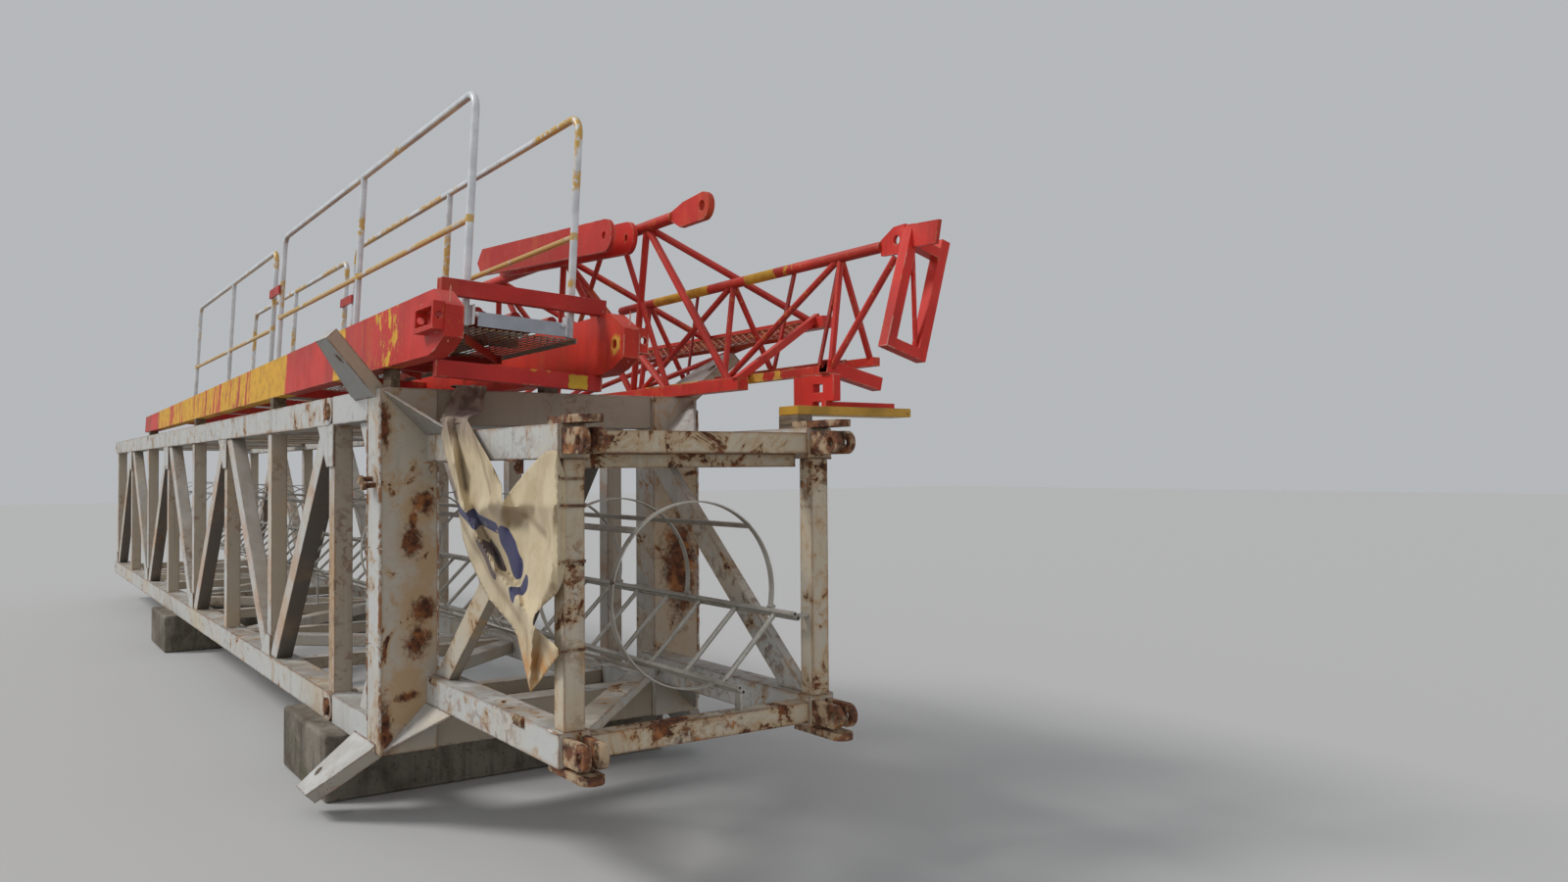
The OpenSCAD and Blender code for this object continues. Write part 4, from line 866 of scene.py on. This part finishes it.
tip_roll = math.atan2(52, 295)
TIP = TOWER @ Matrix.Translation((0, 1.576, 1.667)) @ Matrix.Rotation(tip_roll, 4, "X")
tip_at = in_mm(TIP)
tip_walk = mesh_sheet(tip_at, 110, 1040, 80, 210, 22, 55, 32, 6, 3, 2.0)
for y in (80, 206):
    tip_walk.box(tip_at, (110, y, 15.3), (1040, y + 4, 29.3))
for x in (110, 420, 730, 1036):
    tip_walk.box(tip_at, (x, 84, 15.3), (x + 4, 206, 24))
tip_red = red("red_tip_walkway", 0.2, (), 0.4, (0.36, 0.030, 0.022), 0.3, (), 3.7)
tip_obj = tip_walk.make("tip_mesh", tip_red, "red_paint")
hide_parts("tip_walkway")

# Canvas banner: a hanging sheet and a gathered end on the collar beam
NAVY, DARK_BROWN = (0.034, 0.034, 0.100), (0.085, 0.052, 0.048)
PRINTS = [([(1.515, 1.405), (1.683, 1.362), (1.850, 1.335)], 0.022, NAVY),
          ([(1.905, 1.300), (1.960, 1.255), (2.005, 1.195)], 0.047, NAVY),
          ([(2.105, 1.140), (2.050, 1.100)], 0.034, NAVY),
          ([(1.760, 1.262), (1.810, 1.225), (1.880, 1.165)], 0.026, DARK_BROWN)]
# Lines of painted shade along the banner's fold valleys: points (x, z) of the part in metres, and a
# half-width
FOLD_SHADE_LINES = [([(1.470, 1.480), (1.545, 1.330), (1.680, 1.260), (1.900, 1.110), (2.110, 1.020)], 0.016),
         ([(1.880, 1.420), (2.060, 1.395), (2.280, 1.330)], 0.010),
         ([(1.860, 1.400), (1.930, 1.385), (2.020, 1.370)], 0.022),
         ([(1.640, 1.700), (1.740, 1.590), (1.850, 1.470)], 0.008),
         ([(2.190, 0.980), (2.170, 0.860)], 0.014)]
banner_mat = canvas_mat("canvas_cloth", PRINTS, FOLD_SHADE_LINES)
# Edge of the hanging sheet as the camera sees it, on a plane behind the section's face, in mm
SHEET_PLANE = 190
outline = [(225, 1465), (330, 1472), (440, 1464), (548, 1453), (591, 1421), (675, 1363), (771, 1302),
           (863, 1238), (927, 1186), (932, 1119), (1051, 1182), (1169, 1238), (1271, 1282), (1348, 1308),
           (1432, 1311), (1484, 1250), (1504, 1208), (1507, 1064), (1502, 911), (1481, 859), (1430, 816),
           (1324, 768), (1246, 729), (1224, 687), (1301, 664), (1408, 642), (1466, 619), (1387, 566),
           (1289, 496), (1200, 442), (1143, 533), (1108, 583), (1085, 626), (1025, 665), (925, 697),
           (796, 742), (688, 807), (576, 889), (503, 967), (465, 1048), (444, 1130), (383, 1202),
           (289, 1308), (241, 1384)]
# Folds: start and end of each crease, how far it stands back, and how wide it is
creases = [((300, 1440), (400, 1280), -34, 60), ((400, 1280), (500, 1100), -36, 60),
           ((500, 1100), (632, 1000), -44, 55), ((632, 1000), (850, 875), -46, 60),
           ((850, 875), (1097, 762), -44, 60), ((1097, 762), (1220, 690), -34, 50),
           ((640, 1080), (880, 905), 40, 60), ((880, 905), (1120, 800), 36, 55),
           ((430, 1420), (545, 1170), 30, 40), ((591, 1421), (830, 1260), -22, 60),
           ((830, 1260), (925, 1130), -34, 70), ((925, 1130), (700, 1090), -34, 50),
           ((940, 1105), (1452, 1125), -26, 60), ((1010, 1040), (1330, 1000), 30, 70),
           ((1420, 1290), (1385, 860), -26, 60), ((1385, 860), (1240, 715), -24, 50),
           ((1165, 1060), (1120, 820), 22, 60), ((1290, 1260), (1230, 1060), 14, 50),
           ((1224, 680), (1195, 480), -32, 40), ((1240, 680), (1440, 615), -20, 36),
           ((1290, 640), (1250, 520), 20, 40)]


def cloth_y(x, z):
    """Depth of the hanging sheet at a point, in mm: creases that run between what holds it."""
    y = 197.0
    for (ax, az), (bx, bz), height, width in creases:
        run = Vector((bx - ax, bz - az))
        off = Vector((x - ax, z - az))
        t = max(0.0, min(1.0, off.dot(run) / run.length_squared))
        y += height * math.exp(-(off - run * t).length / width)
    y += 1.5 * math.sin(x / 61 + z / 83) + 1.0 * math.sin(z / 29 - x / 41)
    if x > 1440:
        return y + (212 + 0.42 * (x - 1460) - y) * min(1.0, (x - 1440) / 30)
    return max(135.0, min(202.0 if z > 1290 else 219.0, y))


def cloth_point(x, z):
    """A point of the sheet in metres: folds stand out along the direction they are seen from."""
    y = cloth_y(x, z)
    out = SHEET_PLANE - y
    return tower_at(x + out * (3.0 - 0.00060 * (x - 225)), y, z + out * (0.48 - 0.0006 * (z - 450)))


def hung_sheet(build):
    """The sheet inside its outline: an even edge, and points on a grid that is a little unsteady."""
    rim = []
    for a, b in zip(outline, outline[1:] + outline[:1]):
        steps = max(1, int(math.hypot(b[0] - a[0], b[1] - a[1]) / 24))
        rim += [(a[0] + (b[0] - a[0]) * k / steps, a[1] + (b[1] - a[1]) * k / steps) for k in range(steps)]
    inner = []
    for i in range(80):
        for j in range(64):
            x = 230 + i * 16 + (j % 2) * 8 + rng.uniform(-1, 1)
            inner.append((x, 450 + j * 16 + rng.uniform(-1, 1)))
    points = [Vector(p) for p in rim + inner]
    ring = [(k, (k + 1) % len(rim)) for k in range(len(rim))]
    verts, _, faces, _, _, _ = delaunay_2d_cdt(points, ring, [list(range(len(rim)))], 1, 0.01)
    build.add([cloth_point(v.x, v.y) for v in verts], [tuple(f) for f in faces])


def gathered_end(build):
    """From the top of the hanging sheet up over the collar beam: bunched, wide below, narrow above."""
    # Each step of the gathering: its ends along and across the section, its height and its folds
    path = [((236, 540), (195, 196), 1440, 3), ((222, 510), (199, 212), 1460, 6),
            ((180, 400), (212, 270), 1474, 8), ((120, 270), (236, 345), 1490, 10),
            ((70, 150), (262, 410), 1512, 12), ((40, 75), (285, 440), 1545, 12),
            ((24, 36), (306, 458), 1580, 11), ((17, 20), (324, 474), 1608, 9),
            ((8, 8), (338, 482), 1625, 6), ((-20, -20), (338, 484), 1630, 5),
            ((-50, -50), (336, 484), 1630, 5), ((-92, -92), (340, 480), 1625, 5)]
    n = 40
    rows = []
    for k, ((x0, x1), (y0, y1), z, wave) in enumerate(path):
        row = []
        for j in range(n + 1):
            u = j / n
            fold = wave * math.sin(u * 24 + 0.7 * math.sin(k * 1.3)) * (0.6 + 0.4 * math.sin(u * 9 + k))
            out = max(-4.0, fold)
            up = 1.0 if k > 7 else 0.25
            row.append(tower_at(x0 + (x1 - x0) * u + out * (1 - up), y0 + (y1 - y0) * u, z + out * up))
        rows.append(row)
    verts = [v for row in rows for v in row]
    w = n + 1
    faces = [(a * w + j, a * w + j + 1, (a + 1) * w + j + 1, (a + 1) * w + j)
             for a in range(len(rows) - 1) for j in range(n)]
    build.add(verts, faces)


cloth = Build()
hung_sheet(cloth)
gathered_end(cloth)
cloth_obj = cloth.make("banner_cloth", banner_mat, "canvas")
thick = cloth_obj.modifiers.new("thick", "SOLIDIFY")
thick.thickness = 0.0012
thick.offset = 0
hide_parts("banner")

grommets = Build()
ties = Build()
for x, z in ((1451, 1215), (1454, 1120), (1452, 925), (1452, 617)):
    spot = cloth_point(x, z)
    grommets.tube([spot + Vector((0.009 * math.cos(a), -0.0025, 0.009 * math.sin(a)))
                   for a in (k * math.pi / 8 for k in range(16))], 0.0028, 8, closed=True)
    for drop, r in ((0, 0.0024), (6, 0.0020)):
        top = z - drop
        route = [(1421, 222, top), (1421, 236, top), (1412, 252, top - 1), (1412, 306, top - 2),
                 (1406, 312, top - 2), (1330, 312, top - 3)]
        ties.tube([spot + Vector((0, -0.003, 0))] + [tower_at(*p) for p in route], r, 6)
grommets.make("banner_grommets", rusty_mat, "rusty_steel")
ties.make("banner_ties", rusty_mat, "rusty_steel")

# Node plates, weld seams, bolts and brackets of the cream sections
def upright_x(i):
    """Where upright i of the wide section stands along it, in mm."""
    return -879 - 1469.2 * i


plates = Build()
for i in range(8):
    x = upright_x(i)
    if i % 2 == 0:
        corners = [(x - 263, 1478), (x + 58, 1478), (x + 58, 1262), (x - 70, 1262)]
    else:
        corners = [(x - 208, 132), (x + 58, 132), (x + 58, 262), (x - 62, 262)]
    for y0, y1 in ((3, 11.5), (1598.5, 1607)):
        plates.plate(corners, tower_at, y0, y1)
for x0, x1 in ((-247, -150), (-46, 46)):
    for z in (470, 900):
        plates.box(tower_at, (x0, -4, z), (x1, -0.5, z + 4))
plates.make("node_plates", cream("cream_plates", 0.35, 0.5, 0.25, edge=1.0, shift=4.7), "cream_paint",
            0.0025)

seams = Build()
seams.bead(tower_at(1, -1, 60), tower_at(1, -1, 1545), 0.0070, 0.013)
seams.bead(tower_at(1, 256, 150), tower_at(1, 256, 1480), 0.0045, 0.012)
seams.bead(tower_at(1, 1611, 60), tower_at(1, 1611, 1545), 0.0060, 0.013)
seams.bead(tower_at(-195, -1, 120), tower_at(-195, -1, 1500), 0.0045, 0.012)
for i in range(8):
    x = upright_x(i)
    for edge in (-53, 53):
        for y0, y1 in ((11, 100), (1509, 1598)):
            for z in (141, 1469):
                seams.bead(tower_at(x + edge, y0, z), tower_at(x + edge, y1, z), 0.0045)
for y in (203, 1407):
    for z in (329, 1281):
        seams.bead(tower_at(2, y, z), tower_at(2, y + (-122 if y > 800 else 122), z), 0.0050)
        seams.bead(tower_at(1324, y, z), tower_at(1406, y, z), 0.0045)
weld = Mat("old_weld")
weld_mat = weld.done(weld.mix(weld.ramp(weld.noise(15, 5, 0.7), 0.42, 0.56), (0.56, 0.54, 0.50),
                              (0.30, 0.145, 0.070)), 0.75, specular=0.3)
weld.bump(weld.noise(120, 4, 0.7), 0.003, 0.8)
seams.make("weld_seams", weld_mat, "cream_paint")

knobs = Build()
for x, z in ((-120, 1207), (-70, 1180)):
    knobs.tube([tower_at(x, 0, z), tower_at(x, -44, z - 3)], 0.012, 14)
    knobs.tube([tower_at(x, -40, z - 3), tower_at(x, -62, z - 4)], 0.019, 14)
for x, y, z in ((98, 205, 1262), (1074, 205, 1262)):
    knobs.box(tower_at, (x - 34, y - 6, z - 34), (x + 34, y, z + 18))
    knobs.box(tower_at, (x - 34, y - 42, z + 12), (x + 34, y, z + 18))
    knobs.bolt(tower_at(x - 14, y - 6, z - 12), (0, -1, 0))
    knobs.bolt(tower_at(x + 14, y - 6, z - 12), (0, -1, 0))
for x, z in ((78, 352), (112, 346), (1030, 336), (1062, 342), (1094, 334), (1058, 360)):
    knobs.bolt(tower_at(x, 205, min(z, 320)), (0, -1, 0), 0.013, 0.011)
knobs.box(tower_at, (1015, 198, 296), (1110, 204.5, 327))
knobs.box(tower_at, (58, 198, 300), (132, 204.5, 327))
knobs.make("knobs_and_brackets", rusty_mat, "rusty_steel", 0.0015)

# Near end of the counter-jib: end plates of the toe board, braces, a painted square and welds
toe_ends = Build()
for y, flap, bolt_y in ((203, 185, 217), (617, 624, 605)):
    toe_ends.box(jib_at, (9062, y, 158), (9104, y + 7, 243))
    toe_ends.box(jib_at, (9062, flap, 158), (9070, flap + 18, 243))
    toe_ends.bolt(jib_at(9104, bolt_y, 202), (1, 0, 0), 0.008, 0.006)
toe_ends.make("toe_end_plates", rail_paint("end_plate_paint", 0.1), "white_paint", 0.0015)

braces = Build()
for x0, y0, x1, y1 in ((9000, 215, 8420, 575), (7860, 215, 7280, 575), (8420, 600, 7860, 240)):
    run = Vector((x1 - x0, y1 - y0, 0)).normalized()
    side = Vector((-run.y, run.x, 0)) * 22
    for lo, hi, off0, off1 in ((88, 128, 0.0, 0.2), (123, 128, 0.0, 1.7)):
        a0, a1 = Vector((x0, y0, 0)) + side * off0, Vector((x0, y0, 0)) + side * off1
        b0, b1 = Vector((x1, y1, 0)) + side * off0, Vector((x1, y1, 0)) + side * off1
        braces.add([jib_at(p.x, p.y, z) for z in (lo, hi) for p in (a0, a1, b1, b0)], BAR_FACES)
brace_red = red("red_braces", 0.1, (), 0.5, (0.44, 0.026, 0.018), 0.2, (), 2.2)
braces.make("deck_braces", brace_red, "red_paint", 0.001)

square = Build()
corners = [(650, -66), (672, -68), (701, -65), (737, -67), (741, -48), (736, -27), (740, -7), (712, -4),
           (690, -8), (664, -5), (647, -10), (651, -36), (646, -52)]
square.plate(corners, jib_at, 9090.1, 9090.9, "x")
square.make("painted_square", yellow("square_yellow", 0.2, (0.70, 0.43, 0.03)), "yellow_paint")

beads = Build()
for y in (25, 808):
    beads.bead(jib_at(9334, y, 40), jib_at(9334, y, 265), 0.0035)
for y in (57, 797):
    beads.bead(jib_at(9080, y, 262), jib_at(9080, y, 336), 0.0040)
    beads.bead(jib_at(9089, y + 8, -70), jib_at(9089, y + 8, 0), 0.0040)
beads.make("red_welds", red("red_weld", 0.0, (), 1.0, (0.62, 0.10, 0.06), 0.5, (), 3.1), "red_paint")

# Joint pins: an oval eye with a dark pin in each ear pair, and split pins
eyes = Build()
for y, way in ((8, -1), (1602, 1)):
    for z in (70, 1540):
        eyes.tube([tower_at(-900, y, z), tower_at(-900, y + way * 14, z)], 0.043, 28)
        eyes.tube([tower_at(-900, y + way * 10, z), tower_at(-900, y + way * 26, z)], 0.029, 24)
        eyes.tube([tower_at(-900, y + way * 22, z - 46), tower_at(-900, y + way * 22, z + 46)], 0.0035, 8)
eyes.make("pin_eyes", rusty_mat, "rusty_steel", 0.002)
